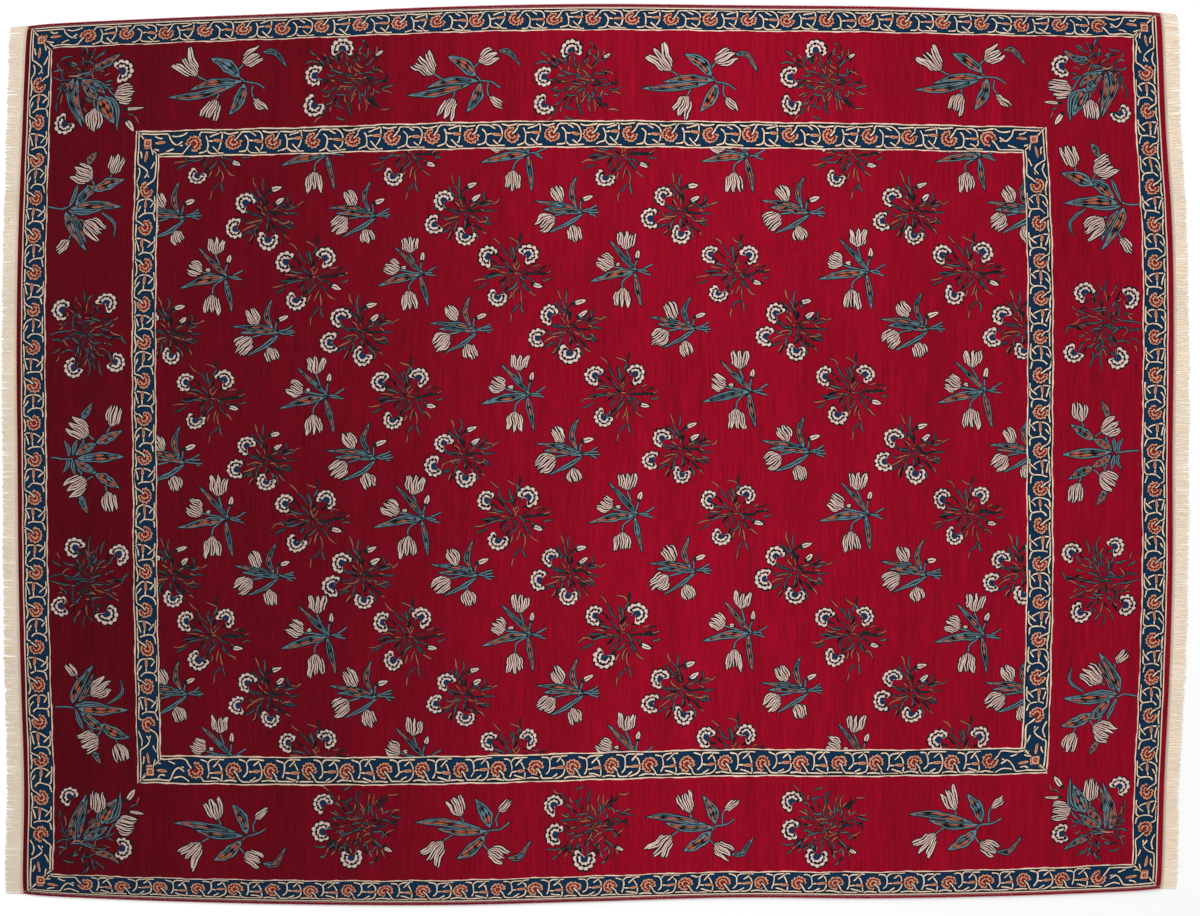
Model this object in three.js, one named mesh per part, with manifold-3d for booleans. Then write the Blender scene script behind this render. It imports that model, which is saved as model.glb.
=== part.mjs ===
// A large hand-knotted Persian carpet of the Kerman kind, lying flat on the floor:
// the pile body, an overcast selvedge cord along each long side, and a flat-woven web
// with its warp fringe at each end. Millimetres, +Z up. X runs along the carpet,
// Y across it, and the origin is on the floor under the middle of the whole carpet.
import * as THREE from 'three';
import Module from 'manifold-3d';

const wasm = await Module();
wasm.setup();

// Driving dimensions
const GAP = 0.3; // clear space between neighbouring pieces
const BODY_THICKNESS = 10; // cotton foundation and wool pile together
const PILE_WAVE = 0.7; // unevenness of the pile's surface, up and down
const EDGE_BEVEL = 12; // width over which the pile leans down to its edges
const EDGE_THICKNESS = 8; // thickness at the edges
const SELVEDGE_WIDTH = 12; // overcast edge cord, seen from above
const SELVEDGE_HEIGHT = 9;
const WEB_WIDTH = 10; // flat-woven end strip, between pile and fringe
const WEB_THICKNESS = 3;
const LOCK_WIDTH = 15; // a lock of warp ends at its widest
const LOCK_ROOT = 5; // length of a lock that is bound into the web
const LOCKS_PER_END = 148;
const LOCK_SWAY = 5; // slow sideways lean of the locks' tips
const LOCK_STRAY = 3; // and each lock's own lean
const SHORTEST_LOCK = 0.84; // trimmed lengths, as shares of the fringe's length
const LONGEST_LOCK = 1.04;
const SEED = 4711; // start of the repeatable random numbers

// Corners of the carpet, without its fringe
const CORNER = {
  nearLeft: new THREE.Vector2(-1958, -1509),
  nearRight: new THREE.Vector2(1936, -1491),
  farLeft: new THREE.Vector2(-1943, 1472),
  farRight: new THREE.Vector2(1936, 1517),
};

// How far each side bows out from the straight line between its corners, at even steps
// along it: the long sides from left to right, the ends from near to far.
const BOW = [
  { near: 0, far: 0, left: 0, right: 0 },
  { near: 22, far: 17, left: -5, right: 9 },
  { near: 36, far: 30, left: 8, right: 27 },
  { near: 40, far: 45, left: 18, right: 37 },
  { near: 30, far: 48, left: 23, right: 37 },
  { near: 19, far: 38, left: 28, right: 41 },
  { near: 24, far: 28, left: 25, right: 36 },
  { near: 17, far: 11, left: 13, right: 13 },
  { near: 0, far: 0, left: 0, right: 0 },
];
const CORNER_DRAW = 6; // how far a corner is drawn in
const CORNER_REACH = 0.012; // share of a side over which that fades

// Fringe length past the pile at even steps from near to far, web and locks together
const FRINGE_LENGTH = [
  { left: 62, right: 58 },
  { left: 64, right: 54 },
  { left: 60, right: 57 },
  { left: 58, right: 56 },
  { left: 56, right: 60 },
  { left: 55, right: 54 },
  { left: 55, right: 53 },
  { left: 54, right: 56 },
  { left: 55, right: 60 },
];

// Smooth value of one column of a table with even steps, at share t from 0 to 1
function tableValue(rows, column, t) {
  const last = rows.length - 1;
  const at = (i) => {
    if (i < 0) return 2 * rows[0][column] - rows[1][column];
    if (i > last) return 2 * rows[last][column] - rows[last - 1][column];
    return rows[i][column];
  };
  const i = Math.min(Math.floor(t * last), last - 1);
  const f = t * last - i;
  const [a, b, c, d] = [at(i - 1), at(i), at(i + 1), at(i + 2)];
  return b + 0.5 * f * (c - a + f * (2 * a - 5 * b + 4 * c - d + f * (3 * (b - c) + d - a)));
}

const SIDE = {
  near: { from: CORNER.nearLeft, to: CORNER.nearRight, outward: new THREE.Vector2(0, -1) },
  far: { from: CORNER.farLeft, to: CORNER.farRight, outward: new THREE.Vector2(0, 1) },
  left: { from: CORNER.nearLeft, to: CORNER.farLeft, outward: new THREE.Vector2(-1, 0) },
  right: { from: CORNER.nearRight, to: CORNER.farRight, outward: new THREE.Vector2(1, 0) },
};

// A point on one side of the carpet's outline, at share t along it
function sidePoint(name, t) {
  const { from, to, outward } = SIDE[name];
  const drawn = CORNER_DRAW * (Math.exp(-t / CORNER_REACH) + Math.exp((t - 1) / CORNER_REACH));
  return from.clone().lerp(to, t).addScaledVector(outward, tableValue(BOW, name, t) - drawn);
}

const LENGTH = CORNER.farRight.x - CORNER.farLeft.x; // nominal sizes of the flat sheet
const WIDTH = CORNER.farRight.y - CORNER.nearRight.y;

// A point of the sheet, at shares u along it and v across it, carried onto the uneven
// outline. The four sides are blended, and shares past 0 or 1 run straight on past the edge.
function lay(u, v) {
  const [cu, cv] = [THREE.MathUtils.clamp(u, 0, 1), THREE.MathUtils.clamp(v, 0, 1)];
  const across = sidePoint('near', cu).lerp(sidePoint('far', cu), cv);
  const along = sidePoint('left', cv).lerp(sidePoint('right', cv), cu);
  const nearLine = CORNER.nearLeft.clone().lerp(CORNER.nearRight, cu);
  const farLine = CORNER.farLeft.clone().lerp(CORNER.farRight, cu);
  const past = new THREE.Vector2((u - cu) * LENGTH, (v - cv) * WIDTH);
  return across.add(along).sub(nearLine.lerp(farLine, cv)).add(past);
}

// Indexed triangles as a geometry with flat shading
function solidGeometry(points, triangles) {
  const geometry = new THREE.BufferGeometry();
  geometry.setAttribute('position', new THREE.Float32BufferAttribute(points, 3));
  geometry.setIndex(triangles);
  geometry.computeVertexNormals();
  return geometry;
}

function mesh(name, geometry, material) {
  const made = new THREE.Mesh(geometry, material);
  made.name = name;
  return made;
}

// Shares from 0 to 1, even in the middle and closer towards each end, for the bevelled
// edge and the drawn-in corners. The first step is the bevel's width.
const CORNER_STEPS = [0, 1, 3, 7];

function stations(count, bevel) {
  const ends = CORNER_STEPS.map((step) => step * bevel);
  const margin = ends.pop();
  const inner = Array.from({ length: count + 1 }, (_, i) => margin + (1 - 2 * margin) * (i / count));
  return [...ends, ...inner, ...ends.map((share) => 1 - share).reverse()];
}

// Neighbouring pieces share their stations, so that their edges stay parallel
const INSET = (SELVEDGE_WIDTH + GAP) / WIDTH;
const ALONG = stations(22, EDGE_BEVEL / LENGTH);
const ACROSS = stations(16, EDGE_BEVEL / WIDTH).map((v) => INSET + v * (1 - 2 * INSET));

// The pile body: a gently uneven top, level underside, edges leaning down
function bodyGeometry() {
  const [columns, rows] = [ALONG.length, ACROSS.length];
  const points = [];
  const top = (i, j) => j * columns + i;
  ACROSS.forEach((v, j) => ALONG.forEach((u, i) => {
    const p = lay(u, v);
    const onEdge = i === 0 || j === 0 || i === columns - 1 || j === rows - 1;
    const wave = PILE_WAVE * Math.sin(9.1 * u + 2.3 * Math.sin(5 * v)) * Math.cos(7.3 * v + 1.1);
    points.push(p.x, p.y, onEdge ? EDGE_THICKNESS : BODY_THICKNESS + wave);
  }));
  const triangles = [];
  for (let j = 0; j < rows - 1; j += 1) {
    for (let i = 0; i < columns - 1; i += 1) {
      triangles.push(top(i, j), top(i + 1, j), top(i + 1, j + 1));
      triangles.push(top(i, j), top(i + 1, j + 1), top(i, j + 1));
    }
  }
  const rim = [];
  for (let i = 0; i < columns - 1; i += 1) rim.push(top(i, 0));
  for (let j = 0; j < rows - 1; j += 1) rim.push(top(columns - 1, j));
  for (let i = columns - 1; i > 0; i -= 1) rim.push(top(i, rows - 1));
  for (let j = rows - 1; j > 0; j -= 1) rim.push(top(0, j));
  const under = points.length / 3;
  const contour = rim.map((k) => new THREE.Vector2(points[3 * k], points[3 * k + 1]));
  contour.forEach((p) => points.push(p.x, p.y, 0));
  rim.forEach((k, n) => {
    const m = (n + 1) % rim.length;
    triangles.push(under + n, under + m, rim[m], under + n, rim[m], k);
  });
  THREE.ShapeUtils.triangulateShape(contour, []).forEach(([a, b, c]) => {
    triangles.push(under + a, under + c, under + b);
  });
  return solidGeometry(points, triangles);
}

// A bar of one section carried along a line: rings of equally many points, capped at its
// ends. Each ring runs round the direction of travel by the right-hand rule.
function barGeometry(rings) {
  const sides = rings[0].length;
  const points = rings.flat().flatMap((p) => [p.x, p.y, p.z]);
  const triangles = [];
  for (let r = 0; r < rings.length - 1; r += 1) {
    for (let k = 0; k < sides; k += 1) {
      const [a, b] = [r * sides + k, r * sides + ((k + 1) % sides)];
      triangles.push(a, b, b + sides, a, b + sides, a + sides);
    }
  }
  const end = (rings.length - 1) * sides;
  for (let k = 1; k < sides - 1; k += 1) {
    triangles.push(0, k + 1, k, end, end + k, end + k + 1);
  }
  return solidGeometry(points, triangles);
}

// Section of the selvedge cord: across from 0 to 1 of its width, up from the floor
const CORD_SECTION = [
  { across: 0.16, up: 0 },
  { across: 0.84, up: 0 },
  { across: 1, up: 0.42 },
  { across: 0.9, up: 0.8 },
  { across: 0.62, up: 1 },
  { across: 0.32, up: 1 },
  { across: 0.06, up: 0.8 },
  { across: 0, up: 0.42 },
];

function selvedgeGeometry(isFar) {
  const share = SELVEDGE_WIDTH / WIDTH;
  const rings = ALONG.map((u) => {
    return CORD_SECTION.map(({ across, up }) => {
      const p = lay(u, isFar ? 1 - share * (1 - across) : share * across);
      return new THREE.Vector3(p.x, p.y, up * SELVEDGE_HEIGHT);
    });
  });
  return barGeometry(rings);
}

// Closed geometry to a solid that can be joined, and back
function toSolid(geometry) {
  return new wasm.Manifold(new wasm.Mesh({
    numProp: 3,
    vertProperties: geometry.attributes.position.array,
    triVerts: new Uint32Array(geometry.index.array),
  }));
}

function toGeometry(solid) {
  const { vertProperties, triVerts } = solid.getMesh();
  return solidGeometry(Array.from(vertProperties), Array.from(triVerts));
}

// Repeatable random numbers between 0 and 1
function randomFrom(seed) {
  let state = seed;
  return () => {
    state = (state * 16807) % 2147483647;
    return state / 2147483647;
  };
}

// The flat-woven web along one end, past the pile and both selvedge cords
function webGeometry(isLeft) {
  const sign = isLeft ? -1 : 1;
  const edge = isLeft ? 0 : 1;
  const share = (out) => edge + (sign * out) / LENGTH;
  const rings = [0, ...ACROSS, 1].map((v) => {
    const [inner, outer] = [lay(share(GAP), v), lay(share(GAP + WEB_WIDTH), v)];
    const ring = [
      new THREE.Vector3(inner.x, inner.y, 0),
      new THREE.Vector3(inner.x, inner.y, WEB_THICKNESS),
      new THREE.Vector3(outer.x, outer.y, WEB_THICKNESS),
      new THREE.Vector3(outer.x, outer.y, 0),
    ];
    return isLeft ? ring.reverse() : ring;
  });
  return barGeometry(rings);
}

// One lock of warp ends lying level on the floor, bound into the web at its root. Rows run
// from the root to the tip: share of its length, share of its width and bend, and its height.
const LOCK_ROWS = [
  { along: 0, width: 0.9, bend: 0, height: 2.4 },
  { along: 0.45, width: 1, bend: 0.35, height: 2.8 },
  { along: 1, width: 0.55, bend: 1, height: 1.6 },
];
const LOCK_CROWN = 0.7; // width of a lock's upper face as a share of its base

function lockGeometry(isLeft, v, length, bend) {
  const sign = isLeft ? -1 : 1;
  const root = lay(isLeft ? 0 : 1, v);
  const start = GAP + WEB_WIDTH - LOCK_ROOT;
  const rings = LOCK_ROWS.map((row) => {
    const x = root.x + sign * (start + (length - start) * row.along);
    const y = root.y + bend * row.bend;
    const base = (LOCK_WIDTH * row.width) / 2;
    const crown = base * LOCK_CROWN;
    const ring = [
      new THREE.Vector3(x, y - base, 0),
      new THREE.Vector3(x, y + base, 0),
      new THREE.Vector3(x, y + crown, row.height),
      new THREE.Vector3(x, y - crown, row.height),
    ];
    return isLeft ? ring.reverse() : ring;
  });
  return barGeometry(rings);
}

function fringeGeometry(isLeft) {
  const random = randomFrom(SEED + (isLeft ? 0 : 1));
  const column = isLeft ? 'left' : 'right';
  const solids = [toSolid(webGeometry(isLeft))];
  for (let n = 0; n < LOCKS_PER_END; n += 1) {
    const v = (n + 0.5) / LOCKS_PER_END;
    const share = THREE.MathUtils.lerp(SHORTEST_LOCK, LONGEST_LOCK, random());
    const bend = LOCK_SWAY * Math.sin(23 * v + 1) + LOCK_STRAY * (random() - 0.5);
    solids.push(toSolid(lockGeometry(isLeft, v, share * tableValue(FRINGE_LENGTH, column, v), bend)));
  }
  return toGeometry(wasm.Manifold.union(solids));
}

const pileWool = new THREE.MeshStandardMaterial({ color: 0x8d0f28, roughness: 0.95, metalness: 0 });
const selvedgeWool = new THREE.MeshStandardMaterial({ color: 0x7a0c22, roughness: 0.9, metalness: 0 });
const warpCotton = new THREE.MeshStandardMaterial({ color: 0xe2d2ba, roughness: 0.95, metalness: 0 });

const carpet = new THREE.Group();
carpet.add(mesh('rug_body', bodyGeometry(), pileWool));
carpet.add(mesh('selvedge_near', selvedgeGeometry(false), selvedgeWool));
carpet.add(mesh('selvedge_far', selvedgeGeometry(true), selvedgeWool));
carpet.add(mesh('fringe_left', fringeGeometry(true), warpCotton));
carpet.add(mesh('fringe_right', fringeGeometry(false), warpCotton));

export default carpet;
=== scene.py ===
# %% [markdown]
# # A Persian carpet of the Kerman kind, laid flat
# The real carpet is knotted row by row: a cotton foundation, a cut wool pile that carries
# the design, a wool-wrapped selvedge along both long sides and a cotton fringe at both ends.
# Here each of those is a piece of its own, placed in the frame of the solid model.

# %% The frame and its box
import math

import bpy
import numpy as np
from mathutils.geometry import delaunay_2d_cdt
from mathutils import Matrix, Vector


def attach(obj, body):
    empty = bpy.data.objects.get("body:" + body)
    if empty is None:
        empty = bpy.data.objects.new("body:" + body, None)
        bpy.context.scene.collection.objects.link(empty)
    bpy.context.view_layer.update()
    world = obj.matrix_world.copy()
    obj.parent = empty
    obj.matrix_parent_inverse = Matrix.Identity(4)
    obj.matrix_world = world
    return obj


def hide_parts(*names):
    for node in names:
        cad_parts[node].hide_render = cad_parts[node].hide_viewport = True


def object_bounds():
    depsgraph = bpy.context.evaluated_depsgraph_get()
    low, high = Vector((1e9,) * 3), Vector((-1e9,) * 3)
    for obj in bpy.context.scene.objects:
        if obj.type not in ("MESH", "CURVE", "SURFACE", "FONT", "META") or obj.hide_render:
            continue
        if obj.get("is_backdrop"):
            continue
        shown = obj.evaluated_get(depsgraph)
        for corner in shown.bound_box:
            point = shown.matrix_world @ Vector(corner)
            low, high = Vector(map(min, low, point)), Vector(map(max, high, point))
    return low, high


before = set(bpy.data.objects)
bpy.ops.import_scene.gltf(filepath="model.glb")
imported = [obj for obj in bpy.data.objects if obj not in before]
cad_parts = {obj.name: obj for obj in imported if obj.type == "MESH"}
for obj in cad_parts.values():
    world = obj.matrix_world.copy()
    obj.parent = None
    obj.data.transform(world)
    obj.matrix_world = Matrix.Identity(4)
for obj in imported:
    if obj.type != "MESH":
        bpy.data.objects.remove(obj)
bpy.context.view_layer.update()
BODY = "root"
MM = 0.001
print("nodes:", sorted(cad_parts))

# %% [markdown]
# ## The camera
# The photograph looks straight down on the carpet. A long lens from 9 m up shows hardly any
# perspective, and the lens follows from the width of carpet that one pixel covers.

# %% Camera straight above
PHOTO_PIXELS_WIDE = 1200
PIXEL_SIZE = 3.42  # millimetres of carpet to one pixel
PHOTO_MIDDLE = (17, -12)  # the picture's middle, in millimetres from the origin
CAMERA_HEIGHT = 9000


def placed(name, data):
    """An object with this mesh, camera or lamp, linked to the scene."""
    made = bpy.data.objects.new(name, data)
    bpy.context.scene.collection.objects.link(made)
    return made


camera_data = bpy.data.cameras.new("camera_above")
camera_data.lens = camera_data.sensor_width * CAMERA_HEIGHT / (PHOTO_PIXELS_WIDE * PIXEL_SIZE)
camera = placed("camera_above", camera_data)
camera.location = (PHOTO_MIDDLE[0] * MM, PHOTO_MIDDLE[1] * MM, CAMERA_HEIGHT * MM)
bpy.context.scene.camera = camera
print("lens:", round(camera_data.lens, 1), "mm")

# %% [markdown]
# ## From the weaver's chart to the uneven carpet
# A weaver works from a chart that is a plain rectangle, but the finished carpet comes off the
# loom with bowed sides and corners out of square. So the design is drawn on a flat chart, and
# one function carries any point of it onto the outline that the solid model has. It blends
# the four curved sides, so the borders bend with the carpet as they do in wool.

# %% Outline of the carpet, as the solid model has it
CHART_LENGTH = 3886  # the chart's rectangle, x along the carpet and y across it
CHART_WIDTH = 2995
CORNER = {
    "near_left": (-1958, -1509),
    "near_right": (1936, -1491),
    "far_left": (-1943, 1472),
    "far_right": (1936, 1517),
}
BOW = {  # how far a side bows out at even steps, from left to right or from near to far
    "near": (0, 22, 36, 40, 30, 19, 24, 17, 0),
    "far": (0, 17, 30, 45, 48, 38, 28, 11, 0),
    "left": (0, -5, 8, 18, 23, 28, 25, 13, 0),
    "right": (0, 9, 27, 37, 37, 41, 36, 13, 0),
}
SIDES = {  # first corner, second corner, direction outwards
    "near": ("near_left", "near_right", (0, -1)),
    "far": ("far_left", "far_right", (0, 1)),
    "left": ("near_left", "far_left", (-1, 0)),
    "right": ("near_right", "far_right", (1, 0)),
}
CORNER_DRAW = 6
CORNER_REACH = 0.012
NOMINAL_LENGTH = 3879  # plain sizes that edge strips are measured by
NOMINAL_WIDTH = 3008


def table_value(values, share):
    """A smooth curve through evenly spaced values, read at shares from 0 to 1."""
    ends = (2 * values[0] - values[1], 2 * values[-1] - values[-2])
    padded = np.array([ends[0], *values, ends[1]], float)
    steps = len(values) - 1
    first = np.clip((share * steps).astype(int), 0, steps - 1)
    f = share * steps - first
    a, b, c, d = (padded[first + k] for k in range(4))
    return b + 0.5 * f * (c - a + f * (2 * a - 5 * b + 4 * c - d + f * (3 * (b - c) + d - a)))


def between(first, second, share):
    return first + (second - first) * share[:, None]


def side_point(name, share):
    first, second, outward = SIDES[name]
    drawn = CORNER_DRAW * (np.exp(-share / CORNER_REACH) + np.exp((share - 1) / CORNER_REACH))
    out = table_value(BOW[name], share) - drawn
    line = between(np.array(CORNER[first], float), np.array(CORNER[second], float), share)
    return line + out[:, None] * np.array(outward, float)


def lay(u, v):
    """Carpet millimetres of the shares u along and v across; past 0 and 1 it runs straight on."""
    cu, cv = np.clip(u, 0, 1), np.clip(v, 0, 1)
    across = between(side_point("near", cu), side_point("far", cu), cv)
    along = between(side_point("left", cv), side_point("right", cv), cu)
    corner = {name: np.array(place, float) for name, place in CORNER.items()}
    near_line = between(corner["near_left"], corner["near_right"], cu)
    far_line = between(corner["far_left"], corner["far_right"], cu)
    past = np.stack([(u - cu) * NOMINAL_LENGTH, (v - cv) * NOMINAL_WIDTH], 1)
    return across + along - between(near_line, far_line, cv) + past


corners_laid = lay(np.array([0.0, 1.0]), np.array([0.0, 1.0]))
print("opposite corners:", corners_laid.round().tolist())

# %% [markdown]
# ## Dyes
# A Kerman workshop uses a dozen or so dyed yarns. Each is written here as it looks in even
# daylight, and turned into the linear values that the renderer works in.

# %% Dyed yarns
DYES = {
    "ground": (146, 4, 33),
    "cream": (222, 198, 186),
    "guard_cream": (238, 213, 188),
    "pink": (196, 130, 112),
    "peach": (212, 154, 124),
    "rust": (172, 94, 68),
    "brick": (128, 28, 26),
    "outline": (23, 18, 26),
    "guard_blue": (12, 48, 78),
    "flower_blue": (26, 48, 78),
    "teal": (98, 128, 138),
    "sage": (82, 100, 102),
    "teal_dark": (56, 82, 90),
    "green_dark": (18, 46, 46),
}


def linear(channel):
    share = channel / 255
    return share / 12.92 if share <= 0.04045 else ((share + 0.055) / 1.055) ** 2.4


DYE_NAMES = list(DYES)
DYE_VALUES = np.array([[linear(channel) for channel in DYES[name]] for name in DYE_NAMES])
print(len(DYE_NAMES), "dyes")

# %% [markdown]
# ## A pen for the chart
# The design is drawn like a paper chart: filled outlines laid over each other, the last one
# on top. A pen carries the place, turn, size and mirroring of one spray, so each motif is
# described once and repeated. Weavers never tie the same spray twice in quite the same way,
# so the pen also shakes every stroke a little, by seeded random numbers.

# %% Curves, ribbons and the pen
OUTLINE_WIDTH = 3.0  # the dark line round each motif, one knot wide


def curve(points, steps):
    """A smooth line through a few points, with a number of steps from one to the next."""
    points = np.asarray(points, float)
    if len(points) < 3:
        share = np.linspace(0, 1, steps + 1)
        return between(points[0], points[-1], share)
    share = np.linspace(0, 1, steps * (len(points) - 1) + 1)
    return np.stack([table_value(points[:, axis], share) for axis in (0, 1)], 1)


def ribbon(line, widths):
    """The outline of a band along a line, with a width at each of its points."""
    way = np.gradient(line, axis=0)
    way /= np.maximum(np.linalg.norm(way, axis=1), 1e-9)[:, None]
    across = np.stack([-way[:, 1], way[:, 0]], 1) * (np.asarray(widths) / 2)[:, None]
    return np.concatenate([line + across, (line - across)[::-1]])


def lengthened(line, amount):
    """The same line, with both ends run on by an amount."""
    longer = line.copy()
    for end, inner in ((0, 1), (-1, -2)):
        way = line[end] - line[inner]
        longer[end] += way / max(np.linalg.norm(way), 1e-9) * amount
    return longer


class Pen:
    """Draws in a motif's own millimetres and files the outlines on a chart."""

    def __init__(self, chart, carry, seed, shake):
        self.chart = chart
        self.carry = carry  # takes points of the motif to their places on the chart
        self.random = np.random.default_rng(seed)
        self.amount = shake

    def shaken(self, points):
        points = np.asarray(points, float)
        return points + self.random.normal(0, self.amount, points.shape)

    def fill(self, dye, outline):
        self.chart.append((DYE_NAMES.index(dye), self.carry(outline)))

    def band(self, dye, line, widths, dark, run_on=OUTLINE_WIDTH):
        """A band of colour over a dark one that is wider and longer."""
        self.fill("outline", ribbon(lengthened(line, run_on), widths + dark))
        self.fill(dye, ribbon(line, widths))


print("pen ready")

# %% [markdown]
# ## Strokes, leaves and buds
# The sprays of this design are made of short tapering strokes with a dark edge, long leaves
# with a dark vein and rust hearts, and cream buds. Each is a ribbon over a wider dark
# ribbon, which is how a weaver's chart shows them as well.

# %% Small parts of a spray
STROKE_WIDTH = 4.2
STROKE_EDGE = 2.6  # the dark line round a stroke
STROKE_BOW = 0.1  # how far a stroke bows out, as a share of its length
LEAF_ROWS = {True: (-0.17, 0.17), False: (0.0,)}  # rows of short strokes in wide and narrow leaves
LEAF_STROKES = 3
LEAF_STROKE_ENDS = (0.1, 0.88)
LEAF_STROKE_TAPER = (0.15, 1, 0.85, 0.1)
LEAF_STROKE_WIDTH = {1: 0.38, 2: 0.27}  # as a share of the blade, by the number of rows
LEAF_VEIN = 0.3  # dark middle of a narrow leaf, as a share of the blade
LEAF_MIDDLE = 0.72  # dark middle of any other leaf
LEAF_DYES = ("rust", "teal", "rust", "teal_dark", "rust", "rust", "sage")
WIDE_LEAF = 20  # from this width on, a leaf has two rows of strokes
NARROW_LEAF = 15  # below this width it has none
STEM_WIDTH = 6.0
BUD_VEIN = 0.22


def bowed(points, bow, steps):
    """A line between two points that bows out to one side."""
    first, last = points
    share = np.linspace(0, 1, steps + 1)
    side = np.array([first[1] - last[1], last[0] - first[0]])
    return between(first, last, share) + side * (4 * bow * share * (1 - share))[:, None]


def draw_stroke(pen, dye, points, width, steps=3):
    points = pen.shaken(points)
    bow = pen.random.normal(0, STROKE_BOW)
    line = bowed(points, bow, steps) if len(points) == 2 else curve(points, steps)
    share = np.linspace(0, 1, len(line))
    taper = np.sin(np.pi * (0.08 + 0.84 * share)) ** 0.8
    pen.band(dye, line, taper * width, STROKE_EDGE * (0.4 + 1.6 * taper))


def draw_stem(pen, points):
    line = curve(pen.shaken(points), 3)
    full = np.ones(len(line))
    pen.fill("outline", ribbon(lengthened(line, 1), full * (STEM_WIDTH + OUTLINE_WIDTH)))
    pen.fill("teal", ribbon(line, full * (STEM_WIDTH - 0.8 * OUTLINE_WIDTH)))


def draw_leaf(pen, points, width):
    """A pointed leaf from stalk to tip: dark edge, pale rim, dark middle, rows of short strokes."""
    line = curve(pen.shaken(points), 8 if len(points) < 3 else 4)
    share = np.linspace(0, 1, len(line))
    blade = width * (0.94 * np.sin(np.pi * share ** 0.85) ** 0.9 + 0.06)
    blade = blade * pen.random.uniform(0.84, 1.14, len(line))
    pen.band("teal", line, blade, 2 * OUTLINE_WIDTH)
    inner = (share > 0.06) & (share < 0.92)
    if width < NARROW_LEAF:
        pen.fill("outline", ribbon(line[inner], blade[inner] * LEAF_VEIN))
        return
    pen.fill("outline", ribbon(line[inner], blade[inner] * LEAF_MIDDLE))
    way = np.gradient(line, axis=0)
    across = np.stack([-way[:, 1], way[:, 0]], 1) / np.linalg.norm(way, axis=1)[:, None]
    rows = LEAF_ROWS[width >= WIDE_LEAF]
    first, last = LEAF_STROKE_ENDS
    step = (last - first) / LEAF_STROKES
    for row in rows:
        shifted = line + across * (row * blade)[:, None]
        for k in range(LEAF_STROKES):
            begin = first + step * (k + pen.random.uniform(-0.1, 0.25))
            reach = begin + step * np.linspace(0, pen.random.uniform(0.85, 1.15), 4)
            place = np.stack([np.interp(reach, share, shifted[:, axis]) for axis in (0, 1)], 1)
            room = np.interp(reach, share, blade) * LEAF_STROKE_WIDTH[len(rows)]
            dye = LEAF_DYES[int(pen.random.integers(len(LEAF_DYES)))]
            pen.fill(dye, ribbon(place, room * LEAF_STROKE_TAPER))


def draw_bud(pen, base, tip, width):
    line = curve(pen.shaken([base, tip]), 5)
    share = np.linspace(0, 1, len(line))
    body = width * np.sin(np.pi * (0.1 + 0.85 * share)) ** 0.8
    pen.band("cream", line, body, 2 * OUTLINE_WIDTH)
    pen.fill("outline", ribbon(line[1:-1], body[1:-1] * BUD_VEIN))
    pen.fill("green_dark", ribbon(line[:2], body[:2] + 1))


print("strokes, leaves and buds ready")

# %% [markdown]
# ## Tulips and carnations
# A tulip is a fan of pointed cream petals with fine dark lines between them and a pink
# shade on some. A carnation is seen from the side: a scalloped cream fan, open towards its
# stem, over a serrated dark ring, an inner cream fan and a blue heart.

# %% Tulips
STRIP_PITCH = 7.6  # from one petal strip of a tulip to the next, at its widest
CREAM_SHARE = 0.57  # of the pitch; the rest is the dark line between two strips
BASE_SPREAD = 0.4  # how close together the strips are at the stalk
STRIPS_TO_PETAL = 2.6
PETAL_GATHER = 0.75  # how far the strips of a petal run together at its tip
OPEN_GATHER = 0.95  # the same in a flower that is wide open
TIP_RAGGED = 0.2  # how much shorter than the flower a petal may be
STRIP_SWAY = 0.45
STRIP_WAVE = 1.5  # how far all strips of a flower wave to and fro together
WAVES = 11.0  # radians of that wave from base to tip
SHADE_WIDTH = 1.6  # the pink shade on every other strip of a petal


def draw_tulip(pen, base, tip, width, flare):
    """Pointed petals side by side, each of two or three cream strips that meet at its tip."""
    base, tip = pen.shaken([base, tip])
    axis = tip - base
    side = np.array([-axis[1], axis[0]]) / np.linalg.norm(axis)
    count = max(3, round(width / STRIP_PITCH))
    petals = max(2, round(count / STRIPS_TO_PETAL))
    shorter = pen.random.uniform(0, TIP_RAGGED, petals)
    phase = pen.random.uniform(0, 2 * math.pi)
    meet = PETAL_GATHER if flare < 1 else OPEN_GATHER
    strips = []
    for lean in (np.arange(count) + 0.5) / count * 2 - 1:
        petal = min(int((lean + 1) / 2 * petals), petals - 1)
        middle = (petal + 0.5) / petals * 2 - 1
        inset = 1 - math.sqrt(1 - lean * lean)
        begin = 0.36 * inset
        end = 1 - 0.2 * inset * (flare < 1) - shorter[petal] - pen.random.uniform(0, 0.1)
        share = np.linspace(begin, end, 7)
        spread = table_value((BASE_SPREAD, 0.88, 1.0, 0.5 + 0.5 * flare, flare), share)
        gather = np.clip((share - 0.55) / 0.45, 0, 1) ** 1.4 * meet
        sway = np.cumsum(pen.random.normal(0, STRIP_SWAY, len(share)))
        sway += STRIP_WAVE * np.sin(WAVES * share + phase + lean)
        across = (lean + (middle - lean) * gather) * width / 2 * spread + sway
        line = base + axis * share[:, None] + side * across[:, None]
        point = np.sin(np.pi * np.linspace(0.14, 0.93, len(share))) ** 0.5
        strips.append((line, spread * width / count * point))
    for line, room in strips:
        pen.fill("outline", ribbon(lengthened(line, OUTLINE_WIDTH), room + 1.6 * OUTLINE_WIDTH))
    for number, (line, room) in enumerate(strips):
        pen.fill("cream", ribbon(line, room * CREAM_SHARE))
        if number % 2:
            shade = line[1:-2] + side * STRIP_PITCH * 0.14
            pen.fill("pink", ribbon(shade, np.full(len(shade), SHADE_WIDTH)))


print("tulip strips are", STRIP_PITCH, "mm apart")

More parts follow.
